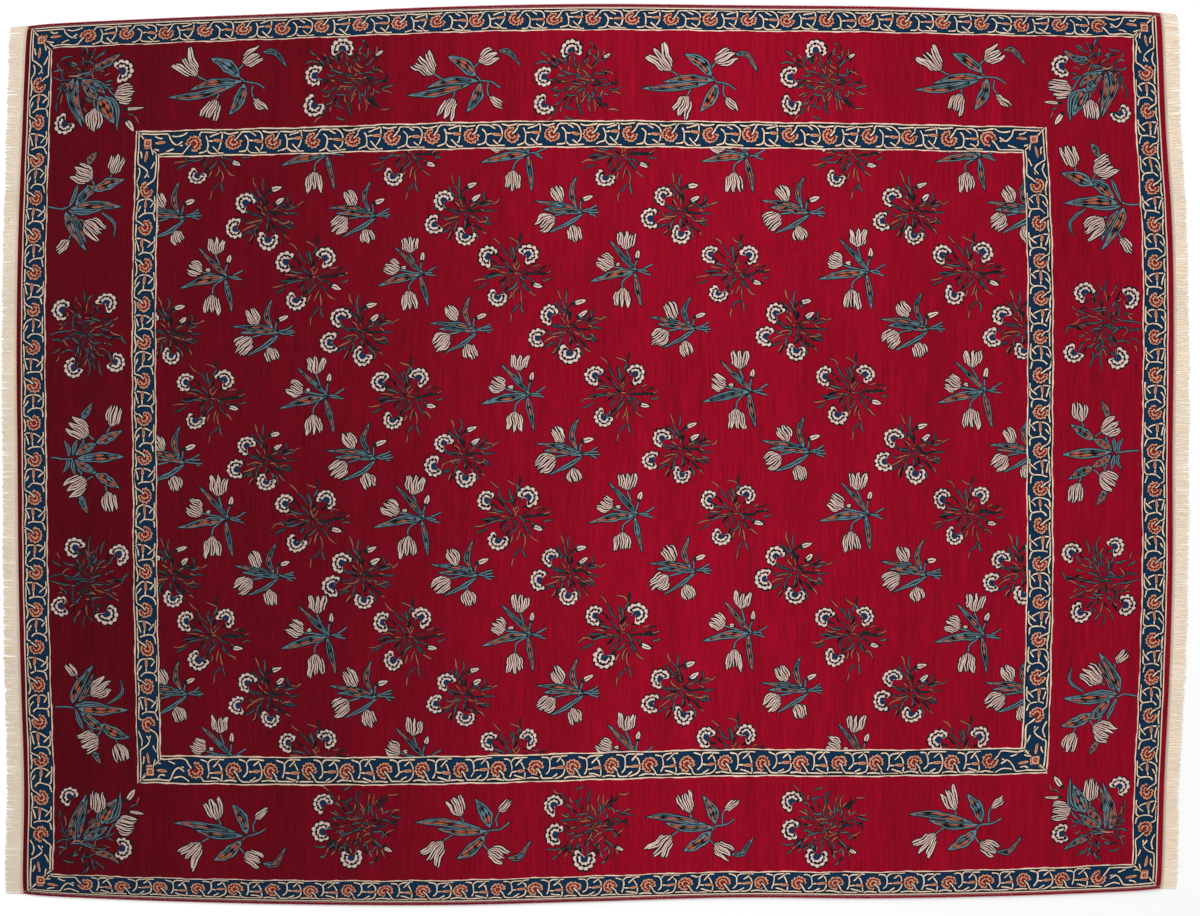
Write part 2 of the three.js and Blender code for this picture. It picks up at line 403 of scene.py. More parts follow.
# %% Carnations
FAN = (  # dye, radius as a share of the flower's, half angle in degrees, lobes, lobe depth
    ("outline", 1.11, 138, 8, 0.08),
    ("cream", 1.0, 133, 8, 0.15),
    ("outline", 0.75, 130, 9, 0.1),
    ("cream", 0.58, 114, 6, 0.2),
    ("flower_blue", 0.37, 150, 4, 0.1),
)
FAN_NICKS = (0.74, 1.0)  # dark lines between the outer lobes, from and to, as shares of the radius
NICK_WIDTHS = (0.8, 2.6)
FAN_TURN = 7.0
FAN_SHAKE = 0.8
FAN_HOLLOW = 0.1  # how far the stem's side of a fan runs past its centre
FAN_SQUASH = (0.92, 1.06)


def fan_outline(radius, half_angle, lobes, depth, facing, hollow):
    angles = np.linspace(-half_angle, half_angle, 3 * lobes + 1)
    wave = np.abs(np.sin(np.pi * lobes * (angles + half_angle) / (2 * half_angle)))
    reach = radius * (1 - depth * (1 - wave))
    way = np.radians(angles + facing)
    arc = np.stack([np.cos(way), np.sin(way)], 1) * reach[:, None]
    back = np.radians(facing + 180)
    return np.concatenate([arc, [[math.cos(back) * hollow, math.sin(back) * hollow]]])


def draw_fan(pen, layers, centre, facing, radius, stretch):
    """Lobed fans laid over each other, open on the side away from where they face."""
    for dye, share, half_angle, lobes, depth in layers:
        hollow = radius * FAN_HOLLOW
        outline = fan_outline(radius * share, half_angle, lobes, depth, facing, hollow)
        wobble = pen.random.normal(0, FAN_SHAKE, outline.shape)
        pen.fill(dye, centre + outline * stretch + wobble)


def draw_carnation(pen, centre, facing, radius):
    squash = (pen.random.uniform(*FAN_SQUASH), pen.random.uniform(*FAN_SQUASH))
    centre = pen.shaken([centre])[0]
    facing += pen.random.normal(0, FAN_TURN)
    draw_fan(pen, FAN[:2], centre, facing, radius, squash)
    half_angle, lobes = FAN[1][2:4]
    for k in range(1, lobes):
        angle = math.radians(facing - half_angle + 2 * half_angle * k / lobes)
        way = np.array([math.cos(angle), math.sin(angle)]) * squash * radius
        nick = centre + way * np.array(FAN_NICKS)[:, None]
        pen.fill("outline", ribbon(nick, NICK_WIDTHS))
    draw_fan(pen, FAN[2:], centre, facing, radius, squash)


print(len(FAN), "layers to a carnation")

# %% [markdown]
# ## The sprays
# Ten sprays make up the whole design. The tables below are read like a recipe: where
# each flower, leaf and stroke begins and ends, in millimetres from the spray's middle.

# %% Recipes of the sprays of the field
# leaves: width, points. tulips: width, flare, base, tip. carnations: facing, radius, centre.
# buds: width, base, tip. stems: points. strokes: dye, points.
# twigs: how many, how far they reach, the point they fan out from, their seed.
TULIPS_CLOSED = {
    "stems": [
        ((106, 2), (51, -3), (-11, 28)),
        ((104, -18), (51, -3), (-37, -17)),
        ((104, 16), (80, 3), (58, -2)),
        ((112, -7), (84, -8), (58, -4)),
        ((51, -3), (34, -30), (20, -51)),
        ((51, -3), (50, 16), (54, 34)),
    ],
    "leaves": [
        (14, (57, -14), (11, -45), (-52, -75)),
        (22, (57, -8), (0, 4), (-74, 3)),
        (17, (51, 1), (-20, 18), (-99, 27)),
        (17, (40, 6), (20, 57), (39, 109)),
    ],
    "tulips": [
        (48, 0.8, (-11, 28), (-45, 88)),
        (64, 0.8, (-37, -17), (-96, -62)),
        (50, 0.8, (20, -51), (40, -110)),
    ],
    "buds": [(15, (54, 34), (91, 48))],
}
TULIPS_OPEN = {
    "stems": [
        ((112, 22), (57, 0), (21, 77)),
        ((108, -13), (57, 0), (-26, 17)),
        ((96, -2), (76, 2), (60, 0)),
        ((57, 0), (11, -31), (5, -58)),
        ((57, 0), (55, 22), (61, 43)),
    ],
    "leaves": [
        (17, (60, 0), (20, 42), (-36, 102)),
        (26, (48, -3), (-20, -10), (-102, -31)),
        (19, (51, -9), (60, -60), (71, -122)),
    ],
    "tulips": [
        (62, 1.25, (21, 77), (26, 142)),
        (60, 0.9, (-26, 17), (-79, 48)),
        (58, 1.2, (5, -58), (7, -134)),
    ],
    "buds": [(14, (61, 43), (67, 74)), (10, (3, 23), (-14, 24))],
}
CARNATIONS_BESIDE = {
    "twigs": (44, 94, (14, 0), 1),
    "carnations": [
        (135, 34, (-54, 42)),
        (180, 34, (-88, -34)),
        (250, 34, (14, -80)),
    ],
    "buds": [(14, (25, 77), (62, 88)), (14, (40, 31), (68, 51))],
    "strokes": [
        ("rust", (-25, 125), (-14, 88)), ("sage", (-14, 88), (8, 51)),
        ("sage", (5, 119), (3, 77)), ("teal_dark", (-34, 79), (-6, 51)),
        ("green_dark", (0, 57), (17, 23)), ("rust", (-20, 34), (0, 14)),
        ("teal_dark", (85, 57), (85, 28)), ("rust", (133, 33), (108, 20)),
        ("sage", (108, 20), (74, 12)), ("rust", (88, -3), (71, 6)),
        ("teal_dark", (116, -6), (79, -7)), ("green_dark", (79, -7), (34, -3)),
        ("teal_dark", (96, -45), (62, -34)), ("rust", (91, -29), (57, -33)),
        ("rust", (85, -80), (62, -56)), ("sage", (54, -91), (44, -60)),
        ("green_dark", (74, -68), (40, -34)), ("rust", (-45, -85), (-31, -62)),
        ("teal_dark", (-68, -65), (-34, -45)), ("rust", (-68, -48), (-23, -28)),
        ("sage", (-23, -68), (-14, -34)), ("rust", (-51, -23), (0, -14)),
        ("sage", (11, -51), (14, -28)), ("green_dark", (20, 12), (40, -6)),
        ("rust", (28, -14), (50, -22)), ("teal_dark", (-40, 10), (0, -2)),
    ],
}
CARNATIONS_ROUND = {
    "twigs": (44, 98, (6, 0), 2),
    "carnations": [
        (160, 34, (-84, 52)),
        (40, 34, (48, 60)),
        (240, 34, (-48, -78)),
    ],
    "buds": [(14, (65, -34), (99, -43))],
    "strokes": [
        ("rust", (-71, 115), (-43, 88)), ("teal_dark", (-43, 88), (-11, 45)),
        ("rust", (-17, 116), (20, 99)), ("green_dark", (22, 130), (20, 102)),
        ("sage", (20, 99), (9, 74)), ("sage", (-6, 85), (3, 45)),
        ("rust", (125, 11), (91, -3)), ("sage", (128, -14), (102, -20)),
        ("green_dark", (116, 0), (79, -1)), ("green_dark", (79, -1), (34, -6)),
        ("rust", (-130, -33), (-85, -23)), ("sage", (-85, -23), (-28, -11)),
        ("teal_dark", (-122, -52), (-82, -34)), ("teal_dark", (-102, -9), (-51, -6)),
        ("rust", (-85, 11), (-45, 6)), ("sage", (-74, 23), (-28, 14)),
        ("rust", (-3, -162), (3, -130)), ("teal_dark", (3, -130), (26, -102)),
        ("sage", (41, -135), (34, -102)), ("rust", (34, -102), (28, -57)),
        ("rust", (11, -85), (23, -45)), ("rust", (82, -80), (51, -57)),
        ("teal_dark", (51, -57), (34, -28)), ("sage", (-11, -57), (17, -28)),
        ("rust", (0, 30), (12, 4)), ("teal_dark", (-30, 40), (-4, 8)),
    ],
}
print("four field sprays")

# %% Recipes of the large sprays of the main border
BORDER_TULIPS = {
    "stems": [
        ((122, -35), (94, -18), (57, -11)),
        ((57, -11), (31, 20), (52, 50)),
        ((-60, -2), (-73, 1), (-99, 16)),
        ((-20, -28), (-28, -45), (-37, -64)),
        ((83, -22), (80, -47), (88, -67)),
    ],
    "leaves": [
        (17, (118, 82), (155, 80), (193, 30)),
        (24, (30, -18), (-99, -46), (-189, -48)),
        (24, (50, -10), (-42, -8), (-120, -27)),
        (38, (40, 6), (0, 44), (-52, 72)),
        (36, (57, -19), (43, -69), (9, -116)),
    ],
    "tulips": [
        (64, 1.9, (-99, 16), (-158, 88)),
        (56, 1.1, (52, 50), (118, 86)),
        (56, 1.4, (-36, -64), (-68, -136)),
        (28, 0.7, (88, -67), (134, -109)),
    ],
}
BORDER_CARNATIONS = {
    "twigs": (62, 118, (14, 0), 3),
    "carnations": [
        (90, 38, (-13, 98)),
        (180, 36, (-106, 13)),
        (225, 36, (-108, -80)),
    ],
    "buds": [(10, (92, 69), (120, 82))],
    "strokes": [
        ("sage", (-120, 96), (-97, 82)), ("rust", (-97, 79), (-86, 64)),
        ("sage", (-86, 64), (-70, 47)), ("sage", (-138, 58), (-117, 64), (-90, 58)),
        ("green_dark", (-90, 58), (-67, 41)), ("rust", (-79, 89), (-66, 75)),
        ("teal_dark", (-66, 75), (-59, 47)), ("sage", (-53, 84), (-40, 69)),
        ("teal_dark", (-40, 69), (-29, 47)), ("green_dark", (-25, 86), (-26, 64)),
        ("rust", (-16, 81), (-19, 64)), ("rust", (-59, 48), (-47, 33)),
        ("sage", (-47, 30), (-10, 18)), ("teal_dark", (-10, 18), (21, 10)),
        ("rust", (-28, 44), (-25, 30)), ("sage", (-6, 58), (4, 38)),
        ("rust", (4, 38), (15, 16)), ("sage", (24, 60), (32, 52)),
        ("rust", (32, 52), (55, 33)), ("sage", (46, 123), (62, 112)),
        ("green_dark", (62, 112), (73, 95)), ("rust", (73, 95), (73, 70)),
        ("rust", (41, 81), (53, 80)), ("sage", (55, 78), (72, 64)),
        ("rust", (99, 98), (89, 67)), ("sage", (88, 67), (60, 38)),
        ("rust", (21, 33), (46, 16)), ("sage", (89, 38), (94, 16)),
        ("rust", (97, 27), (126, 10)), ("sage", (60, 16), (92, 13)),
        ("sage", (-64, 10), (-36, 17)), ("green_dark", (136, -1), (131, -21)),
        ("sage", (114, -38), (154, -30)), ("rust", (120, -44), (150, -52)),
        ("sage", (-13, -10), (21, -13)), ("rust", (-53, -4), (-36, -7)),
        ("rust", (-25, -24), (15, -27)), ("teal_dark", (-87, -30), (-36, -33)),
        ("rust", (-84, -52), (-53, -41)), ("sage", (-67, -58), (-56, -44)),
        ("sage", (-36, -47), (4, -52)), ("sage", (-2, -41), (26, -27)),
        ("rust", (-2, -52), (4, -81)), ("teal_dark", (4, -81), (11, -115)),
        ("rust", (32, -50), (15, -78)), ("sage", (41, -41), (41, -84)),
        ("rust", (41, -84), (46, -109)), ("sage", (58, -38), (58, -69)),
        ("rust", (58, -69), (62, -109)), ("rust", (92, -38), (83, -64)),
        ("green_dark", (83, -64), (89, -101)), ("sage", (72, -24), (69, -41)),
        ("flower_blue", (69, -67), (86, -72)), ("green_dark", (94, -81), (106, -95)),
        ("rust", (109, -104), (143, -105)), ("teal_dark", (-42, -87), (-10, -101)),
        ("rust", (-50, -87), (-53, -106)), ("sage", (-36, -123), (-8, -135)),
        ("teal_dark", (-64, -89), (-84, -118)), ("rust", (-84, -118), (-107, -140)),
        ("flower_blue", (58, 7), (89, -13)), ("teal_dark", (49, -1), (32, -18)),
        ("teal_dark", (89, -24), (120, -13)), ("rust", (30, 2), (52, -6)),
    ],
}
CORNER_BOUQUET = {
    "twigs": (34, 92, (-30, 48), 4),
    "stems": [
        ((2, -20), (-3, -44), (2, -61)),
        ((-59, 39), (20, 20), (62, -28)),
        ((-85, 48), (-60, 47), (-2, 57)),
    ],
    "leaves": [
        (14, (31, -24), (68, -57), (73, -137)),
        (26, (-70, 35), (-81, -22), (-39, -120)),
        (20, (-57, 31), (-56, -33), (-33, -109)),
        (26, (-44, 26), (-13, -9), (15, -35)),
        (24, (-44, 31), (0, 11), (33, -17)),
        (42, (13, -22), (35, -65), (63, -113)),
        (22, (0, 74), (33, 76), (77, 106)),
    ],
    "tulips": [(68, 0.95, (62, -28), (142, -20)), (56, 0.8, (2, -61), (-4, -141))],
    "carnations": [(10, 37, (88, 52)), (225, 35, (-96, -110))],
    "buds": [(16, (97, -102), (124, -144)), (8, (96, -70), (157, -68))],
    "strokes": [
        ("sage", (-113, 100), (-74, 107)), ("green_dark", (-46, 111), (-33, 122)),
        ("teal_dark", (-11, 109), (2, 124)), ("sage", (-2, 94), (33, 120)),
        ("teal_dark", (-50, 89), (-22, 89)), ("sage", (-78, 89), (-61, 72)),
        ("rust", (-61, 72), (-44, 57)), ("sage", (-124, 92), (-115, 74)),
        ("rust", (-115, 74), (-105, 61)), ("teal_dark", (-98, 72), (-100, 35)),
        ("sage", (-133, 46), (-118, 35), (-92, 36)), ("pink", (-85, 48), (-44, 46)),
        ("sage", (-22, 92), (0, 78)), ("rust", (-17, 65), (-4, 31)),
        ("sage", (-39, 46), (-20, 46), (-2, 57)), ("sage", (-2, 57), (28, 59)),
        ("sage", (20, 17), (61, 2)), ("sage", (35, 22), (57, 28)),
        ("rust", (-94, 22), (-81, 11)), ("teal_dark", (-111, 22), (-111, -4), (-124, -31)),
        ("teal_dark", (-105, 4), (-85, -11)), ("rust", (-105, -13), (-113, -44)),
        ("teal_dark", (-122, -33), (-122, -65)), ("rust", (-35, -57), (-26, -74)),
        ("sage", (-28, -22), (-7, -44)), ("sage", (109, -83), (131, -94)),
        ("rust", (131, -94), (140, -120)), ("green_dark", (72, 26), (85, 30)),
    ],
}
print("border sprays and corner bouquet")

# %% Recipes of the sprays that grow in from the two ends
END_TULIPS = {
    "stems": [
        ((-137, -16), (-91, -20), (-66, -12)),
        ((5, 85), (19, 66)),
        ((71, 107), (65, 86)),
        ((-22, -56), (-8, -61)),
        ((-53, -110), (-58, -128)),
    ],
    "leaves": [
        (22, (-12, 138), (-4, 158), (11, 181)),
        (13, (-65, -11), (-50, 37), (-43, 66)),
        (24, (-40, 4), (-18, 38), (-10, 70)),
        (34, (-46, -4), (-7, 42), (26, 64)),
        (38, (17, 47), (62, 72), (115, 88)),
        (34, (-58, -16), (20, -6), (115, -7)),
        (13, (-68, -22), (-17, -32), (50, -20)),
        (10, (46, -30), (82, -49), (100, -75), (94, -114)),
        (32, (-74, -30), (-56, -85), (3, -162)),
        (18, (-55, -35), (-31, -71), (5, -133)),
    ],
    "tulips": [
        (75, 1.0, (10, 88), (-68, 121)),
        (54, 1.1, (71, 107), (95, 184)),
        (66, 1.0, (-10, -61), (62, -112)),
        (34, 0.8, (-58, -128), (-98, -178)),
    ],
}
END_TULIPS_EVEN_HALF = {  # one half of a spray that is the same above and below its stem
    "stems": [((-9, 77), (11, 62)), ((54, 91), (62, 110))],
    "leaves": [
        (12, (-74, 2), (-74, 24), (-89, 54)),
        (22, (-31, 126), (-22, 156), (-5, 188)),
        (13, (-60, 6), (-57, 34), (-50, 58)),
        (14, (-44, 14), (-30, 38), (-27, 62)),
        (26, (-51, 9), (-18, 34), (19, 52)),
        (32, (17, 54), (58, 72), (101, 99)),
    ],
    "tulips": [(72, 1.0, (-9, 77), (-78, 118)), (56, 0.95, (62, 110), (80, 190))],
}
END_TULIPS_EVEN_MIDDLE = {
    "stems": [((-137, 3), (-100, 1), (-60, 0))],
    "leaves": [(34, (-45, 0), (36, 0), (115, -1))],
}
END_CARNATIONS = {
    "twigs": (60, 114, (-8, 0), 5),
    "carnations": [
        (175, 35, (-98, 90)),
        (45, 38, (54, 108)),
        (215, 36, (-60, -113)),
        (325, 35, (86, -96)),
    ],
    "strokes": [
        ("sage", (-54, 139), (-47, 117)), ("rust", (-47, 117), (-32, 98)),
        ("teal_dark", (-21, 155), (-19, 114)), ("sage", (8, 139), (-9, 117)),
        ("rust", (-9, 117), (-16, 76)), ("rust", (-73, 92), (-54, 79)),
        ("sage", (-54, 79), (-36, 57)), ("teal_dark", (-63, 66), (-60, 25)),
        ("rust", (-82, 82), (-79, 66)), ("teal_dark", (-79, 47), (-92, 34)),
        ("rust", (-92, 34), (-108, 19)), ("sage", (-142, 3), (-101, 13), (-63, 16)),
        ("teal_dark", (-139, -13), (-111, -19), (-95, -25)), ("rust", (-95, -16), (-73, -41)),
        ("sage", (-133, -63), (-104, -47)), ("rust", (-120, -92), (-108, -70)),
        ("sage", (-85, -57), (-57, -57)), ("teal_dark", (-82, -6), (-16, -9)),
        ("sage", (-63, -9), (-38, -32)), ("sage", (-41, -35), (-36, -63)),
        ("teal_dark", (-22, -44), (-9, -66), (-22, -85)), ("rust", (-6, -73), (-22, -111)),
        ("sage", (-9, -79), (-9, -152)), ("teal_dark", (-35, -92), (-54, -108)),
        ("rust", (-6, -28), (3, -51)), ("sage", (0, -63), (16, -85)),
        ("sage", (28, -92), (38, -142)), ("sage", (24, -68), (47, -76)),
        ("sage", (60, -63), (76, -92)), ("rust", (44, -28), (54, -33)),
        ("sage", (54, -33), (76, -41)), ("sage", (-6, -9), (35, -25)),
        ("sage", (38, 25), (70, 16)), ("rust", (70, 16), (104, -3)),
        ("sage", (104, -3), (123, -35)), ("sage", (-6, 13), (44, 6)),
        ("teal_dark", (44, 6), (76, -9)), ("rust", (9, 25), (47, 35)),
        ("sage", (47, 35), (79, 51)), ("rust", (79, 51), (95, 63)),
        ("rust", (-19, 60), (0, 58)), ("sage", (0, 58), (38, 51)),
        ("sage", (-22, 47), (19, 44)), ("rust", (-3, 35), (13, 41)),
        ("green_dark", (19, 76), (35, 92)), ("green_dark", (-35, 41), (-32, 13)),
        ("rust", (32, -47), (52, -57)), ("teal_dark", (-40, 4), (-10, -2)),
    ],
}
print("end sprays")

# %% [markdown]
# ## Drawing a spray
# The order matters, because later outlines cover earlier ones: stems, then leaves, strokes
# and flowers. Every copy gets its own seed, so no two are shaken alike.

# %% One function for all sprays
SPRAY_TURN = 2.0  # degrees that a spray leans by chance
SPRAY_GROWTH = 0.03
SPRAY_SHAKE = 1.2  # millimetres that each point of a motif strays
PLACING_SEEDS = 1000
STROKE_WIDTHS = (0.8, 1.25)  # shares of the plain width that a stroke may have
TWIG_TURN = 2.4  # radians from one twig to the next
TWIG_CROWDING = 0.62  # with 0.5 the twigs would be as close in the middle as outside
TWIG_HALF_LENGTH = (8, 15)
TWIG_WIDTH = (3.0, 4.8)
TWIG_STALK = (0.3, 2.4)  # where the thin stalk of a twig begins on its way out, and its width
TWIG_DYES = (  # for the dense middle of a spray, then for its outer part
    ("outline", "brick", "rust", "sage", "teal_dark", "rust"),
    ("teal_dark", "outline", "rust", "green_dark", "sage", "teal"),
)


def draw_twigs(pen, count, reach, middle, seed):
    """Short strokes fanned out from a point, on the same plan in every copy of the spray."""
    plan = np.random.default_rng(seed)
    for number in range(count):
        angle = TWIG_TURN * number + plan.normal(0, 0.25)
        share = ((number + 0.6) / count) ** TWIG_CROWDING
        way = angle + plan.normal(0, 0.3)
        spot = reach * share * np.array([math.cos(angle), math.sin(angle)]) + middle
        half = plan.uniform(*TWIG_HALF_LENGTH) * np.array([math.cos(way), math.sin(way)])
        dyes = TWIG_DYES[int(share > 0.5)]
        dye = dyes[int(plan.integers(len(dyes)))]
        if number % 3 == 0:
            stalk = np.array([middle + (spot - middle) * TWIG_STALK[0], spot])
            pen.fill("green_dark", ribbon(stalk, (TWIG_STALK[1],) * 2))
        draw_stroke(pen, dye, (spot - half, spot + half), plan.uniform(*TWIG_WIDTH), 2)


def draw_spray(pen, recipe):
    if "twigs" in recipe:
        draw_twigs(pen, *recipe["twigs"])
    for points in recipe.get("stems", ()):
        draw_stem(pen, points)
    for width, *points in recipe.get("leaves", ()):
        draw_leaf(pen, points, width)
    for dye, *points in recipe.get("strokes", ()):
        draw_stroke(pen, dye, points, STROKE_WIDTH * pen.random.uniform(*STROKE_WIDTHS))
    for width, base, tip in recipe.get("buds", ()):
        draw_bud(pen, base, tip, width)
    for width, flare, base, tip in recipe.get("tulips", ()):
        draw_tulip(pen, base, tip, width, flare)
    for facing, radius, centre in recipe.get("carnations", ()):
        draw_carnation(pen, centre, facing, radius)


def spray_pen(chart, at, seed, mirror=(1, 1)):
    random = np.random.default_rng(PLACING_SEEDS + seed)
    angle = math.radians(random.normal(0, SPRAY_TURN))
    size = 1 + random.normal(0, SPRAY_GROWTH)
    cosine, sine = math.cos(angle) * size, math.sin(angle) * size
    turn = np.array([[cosine, -sine], [sine, cosine]]) @ np.diag(mirror)
    return Pen(chart, lambda points: points @ turn.T + at, seed, SPRAY_SHAKE)


print("spray function ready")

# %% [markdown]
# ## The field
# Eleven rows of sprays, tulips and carnations taking turns. The rows of the real carpet
# fan out a little towards the left, so each row has its height at three places, and a
# parabola runs through them.

# %% Rows of sprays in the field
ROW_HEIGHT_AT = (-1330, 17, 1385)  # where the heights below were taken, along the carpet
FIELD_ROWS = (  # heights at those three places, and the spray that the row starts with
    (1035, 996, 1005, "carnations"), (822, 808, 817, "tulips"), (614, 604, 614, "tulips"),
    (428, 418, 424, "carnations"), (210, 199, 207, "carnations"), (0, 5, 7, "tulips"),
    (-200, -206, -202, "tulips"), (-388, -395, -397, "carnations"),
    (-597, -603, -612, "carnations"), (-790, -796, -800, "tulips"),
    (-999, -1008, -1020, "tulips"),
)
ODD_COLUMNS = (-1294, -956, -635, -277, 84, 466, 859, 1254)
EVEN_COLUMNS = (-1439, -1120, -797, -454, -99, 280, 662, 1060, 1423)
ROW_SPRAYS = (  # for odd rows, then for even rows
    {"tulips": TULIPS_OPEN, "carnations": CARNATIONS_ROUND},
    {"tulips": TULIPS_CLOSED, "carnations": CARNATIONS_BESIDE},
)

field_chart = []
for row, (*heights, kind) in enumerate(FIELD_ROWS):
    bend = np.polyfit(ROW_HEIGHT_AT, heights, 2)
    columns = EVEN_COLUMNS if row % 2 else ODD_COLUMNS
    for column, x in enumerate(columns):
        pen = spray_pen(field_chart, (x, np.polyval(bend, x)), 20 * row + column)
        draw_spray(pen, ROW_SPRAYS[row % 2][kind])
        kind = "carnations" if kind == "tulips" else "tulips"
print("field:", len(field_chart), "outlines")

# %% [markdown]
# ## The main border
# Large sprays stand in the border, tulips and carnations in turn, with a bouquet in each
# corner. The lower half mirrors the upper one, and the right end mirrors the left.

# %% Sprays of the main border
BORDER_KINDS = {
    "tulips": BORDER_TULIPS, "carnations": BORDER_CARNATIONS, "corner": CORNER_BOUQUET,
    "end tulips": END_TULIPS, "end carnations": END_CARNATIONS,
}
BORDER_PLACES = (  # kind, x, y, mirrored along x, mirrored along y
    ("corner", -1700, 1264, 1, 1), ("tulips", -1250, 1279, 1, 1),
    ("carnations", -842, 1268, 1, 1), ("tulips", -443, 1256, 1, 1),
    ("carnations", -60, 1243, 1, 1), ("tulips", 360, 1254, 1, 1),
    ("carnations", 777, 1248, 1, 1), ("tulips", 1282, 1272, 1, 1),
    ("corner", 1687, 1256, -1, 1),
    ("corner", -1693, -1265, 1, -1), ("tulips", -1240, -1278, 1, -1),
    ("carnations", -812, -1235, 1, -1), ("tulips", -412, -1262, 1, -1),
    ("carnations", -22, -1250, 1, -1), ("tulips", 361, -1267, 1, -1),
    ("carnations", 782, -1257, 1, -1), ("tulips", 1266, -1263, 1, -1),
    ("corner", 1689, -1241, -1, -1),
    ("end tulips", -1709, 872, 1, 1), ("end carnations", -1695, 425, 1, 1),
    ("end carnations", -1697, -416, 1, -1), ("end tulips", -1696, -860, 1, -1),
    ("end tulips", 1703, 855, -1, 1), ("end carnations", 1697, 431, -1, 1),
    ("end carnations", 1691, -434, -1, -1), ("end tulips", 1701, -843, -1, -1),
)
EVEN_END_SPRAYS = ((-1697, 6, 1), (1691, -4, -1))
BORDER_SEEDS = 500
EVEN_HALF_SEEDS = 600
EVEN_MIDDLE_SEEDS = 620

border_chart = []
for number, (kind, x, y, *mirror) in enumerate(BORDER_PLACES):
    pen = spray_pen(border_chart, (x, y), BORDER_SEEDS + number, mirror)
    draw_spray(pen, BORDER_KINDS[kind])
for number, (x, y, mirror) in enumerate(EVEN_END_SPRAYS):
    for half in (1, -1):
        pen = spray_pen(border_chart, (x, y), EVEN_HALF_SEEDS + number, (mirror, half))
        draw_spray(pen, END_TULIPS_EVEN_HALF)
    pen = spray_pen(border_chart, (x, y), EVEN_MIDDLE_SEEDS + number, (mirror, 1))
    draw_spray(pen, END_TULIPS_EVEN_MIDDLE)
print("main border:", len(border_chart), "outlines")

# %% [markdown]
# ## The two guard borders
# A narrow blue guard runs on each side of the main border: rosettes joined by cream
# brackets, with a peach bud between them, and cream lines along both edges. A guard is a ring
# of four straight sides. Its unit is drawn once, with s along the side and t from edge to
# edge, and carried round the ring.

# %% Rings of the design, by their corners
RINGS = {  # corners near left, near right, far right, far left
    "outer guard, outside": ((-1928, -1483), (1926, -1483), (1925, 1483), (-1928, 1483)),
    "outer guard, inside": ((-1838, -1417), (1840, -1401), (1840, 1406), (-1850, 1409)),
    "inner guard, outside": ((-1556, -1098), (1544, -1084), (1537, 1100), (-1556, 1114)),
    "inner guard, inside": ((-1474, -1001), (1452, -995), (1452, 1012), (-1475, 1022)),
}
GUARD_HALF_BAND = 42.0  # t from the middle of a guard to each edge
GUARD_SIDES = (  # first corner, second corner, the axis that the side follows, unit length
    (3, 2, 0, 133.0), (1, 2, 1, 131.0), (0, 1, 0, 128.0), (0, 3, 1, 130.0),
)


class GuardSide:
    """Carries s along and t across one side of a guard onto the chart."""

    def __init__(self, guard, first, second, axis):
        outside, inside = RINGS[guard + ", outside"], RINGS[guard + ", inside"]
        self.axis = axis
        self.outer = (outside[first], outside[second])
        self.inner = (inside[first], inside[second])
        self.start = self.outer[0][axis]
        self.way = math.copysign(1, self.outer[1][axis] - self.start)
        self.length = abs(self.outer[1][axis] - self.start)

    def level(self, ends, along):
        """How far across one of the two edge lines lies at a place along the side."""
        (first, second), other = ends, 1 - self.axis
        share = (along - first[self.axis]) / (second[self.axis] - first[self.axis])
        return first[other] + (second[other] - first[other]) * share

    def place(self, points):
        points = np.asarray(points, float)
        along = self.start + self.way * points[:, 0]
        outer, inner = self.level(self.outer, along), self.level(self.inner, along)
        across = inner + (outer - inner) * (points[:, 1] / GUARD_HALF_BAND + 1) / 2
        return np.stack([along, across] if self.axis == 0 else [across, along], 1)


print("two guard rings of four sides")

# %% One unit of a guard
LINE_WIDTH = 4.2
LINE_EDGE = 2.3 * OUTLINE_WIDTH  # the dark line round a cream one, both sides together
BUD_EDGE = 1.6 * OUTLINE_WIDTH
GUARD_LINES = (  # lines of the two kinds of unit, which take turns; s and t from the rosette
    (
        ((17, 17), (26, 32), (56, 32), (87, 32), (94, 28)),
        ((93, 26), (93, 7), (85, -15), (72, -28)),
        ((39, 22), (46, 7), (45, -20), (34, -28), (18, -31)),
        ((46, -22), (58, -32), (100, -33)),
        ((48, 7), (70, 7)), ((54, 20), (70, 24), (86, 29)), ((62, -11), (84, -31)),
        ((98, 32), (117, 29), (144, 32)),
    ),
    (
        ((19, 20), (26, 31), (50, 32), (70, 32), (89, 26), (98, 11), (96, -14), (87, -26)),
        ((35, 20), (48, 6), (46, -22), (34, -30), (19, -32)),
        ((48, -24), (58, -33), (108, -33)),
        ((52, 2), (70, 2)), ((56, 29), (74, 18)), ((70, -15), (88, -29)),
        ((97, 31), (119, 28), (152, 32)),
    ),
)
ROSETTE_RADIUS = 26.0
ROSETTE_FACING = 228  # degrees, away from where the stem comes in
FIRST_FACING = 40  # of the rosettes beside the corner blocks
LAST_FACING = 140
ROSETTE_STRETCH = (1.06, 0.96)
ROSETTE = (  # dye, radius as a share, half angle, lobes, lobe depth
    ("outline", 1.07, 152, 10, 0.05), ("peach", 1.0, 150, 10, 0.14),
    ("brick", 0.83, 146, 10, 0.2), ("outline", 0.62, 142, 6, 0.1),
    ("peach", 0.56, 138, 6, 0.22), ("brick", 0.34, 160, 4, 0.1),
)
SQUARE_FLOWER = (  # dye and half side of the small flower in a corner block
    ("outline", 15.5), ("peach", 13.0), ("brick", 6.5), ("peach", 2.4),
)
GUARD_BUDS = (((66, 7), (96, 7)), ((66, 2), (97, 0)))  # base and tip in either kind of unit
GUARD_BUD_WIDTH = 9
GUARD_BUD_HEART = 0.45  # of the bud's width
ROSETTE_STEM = ((3, 2), (11, 9), (18, 19))


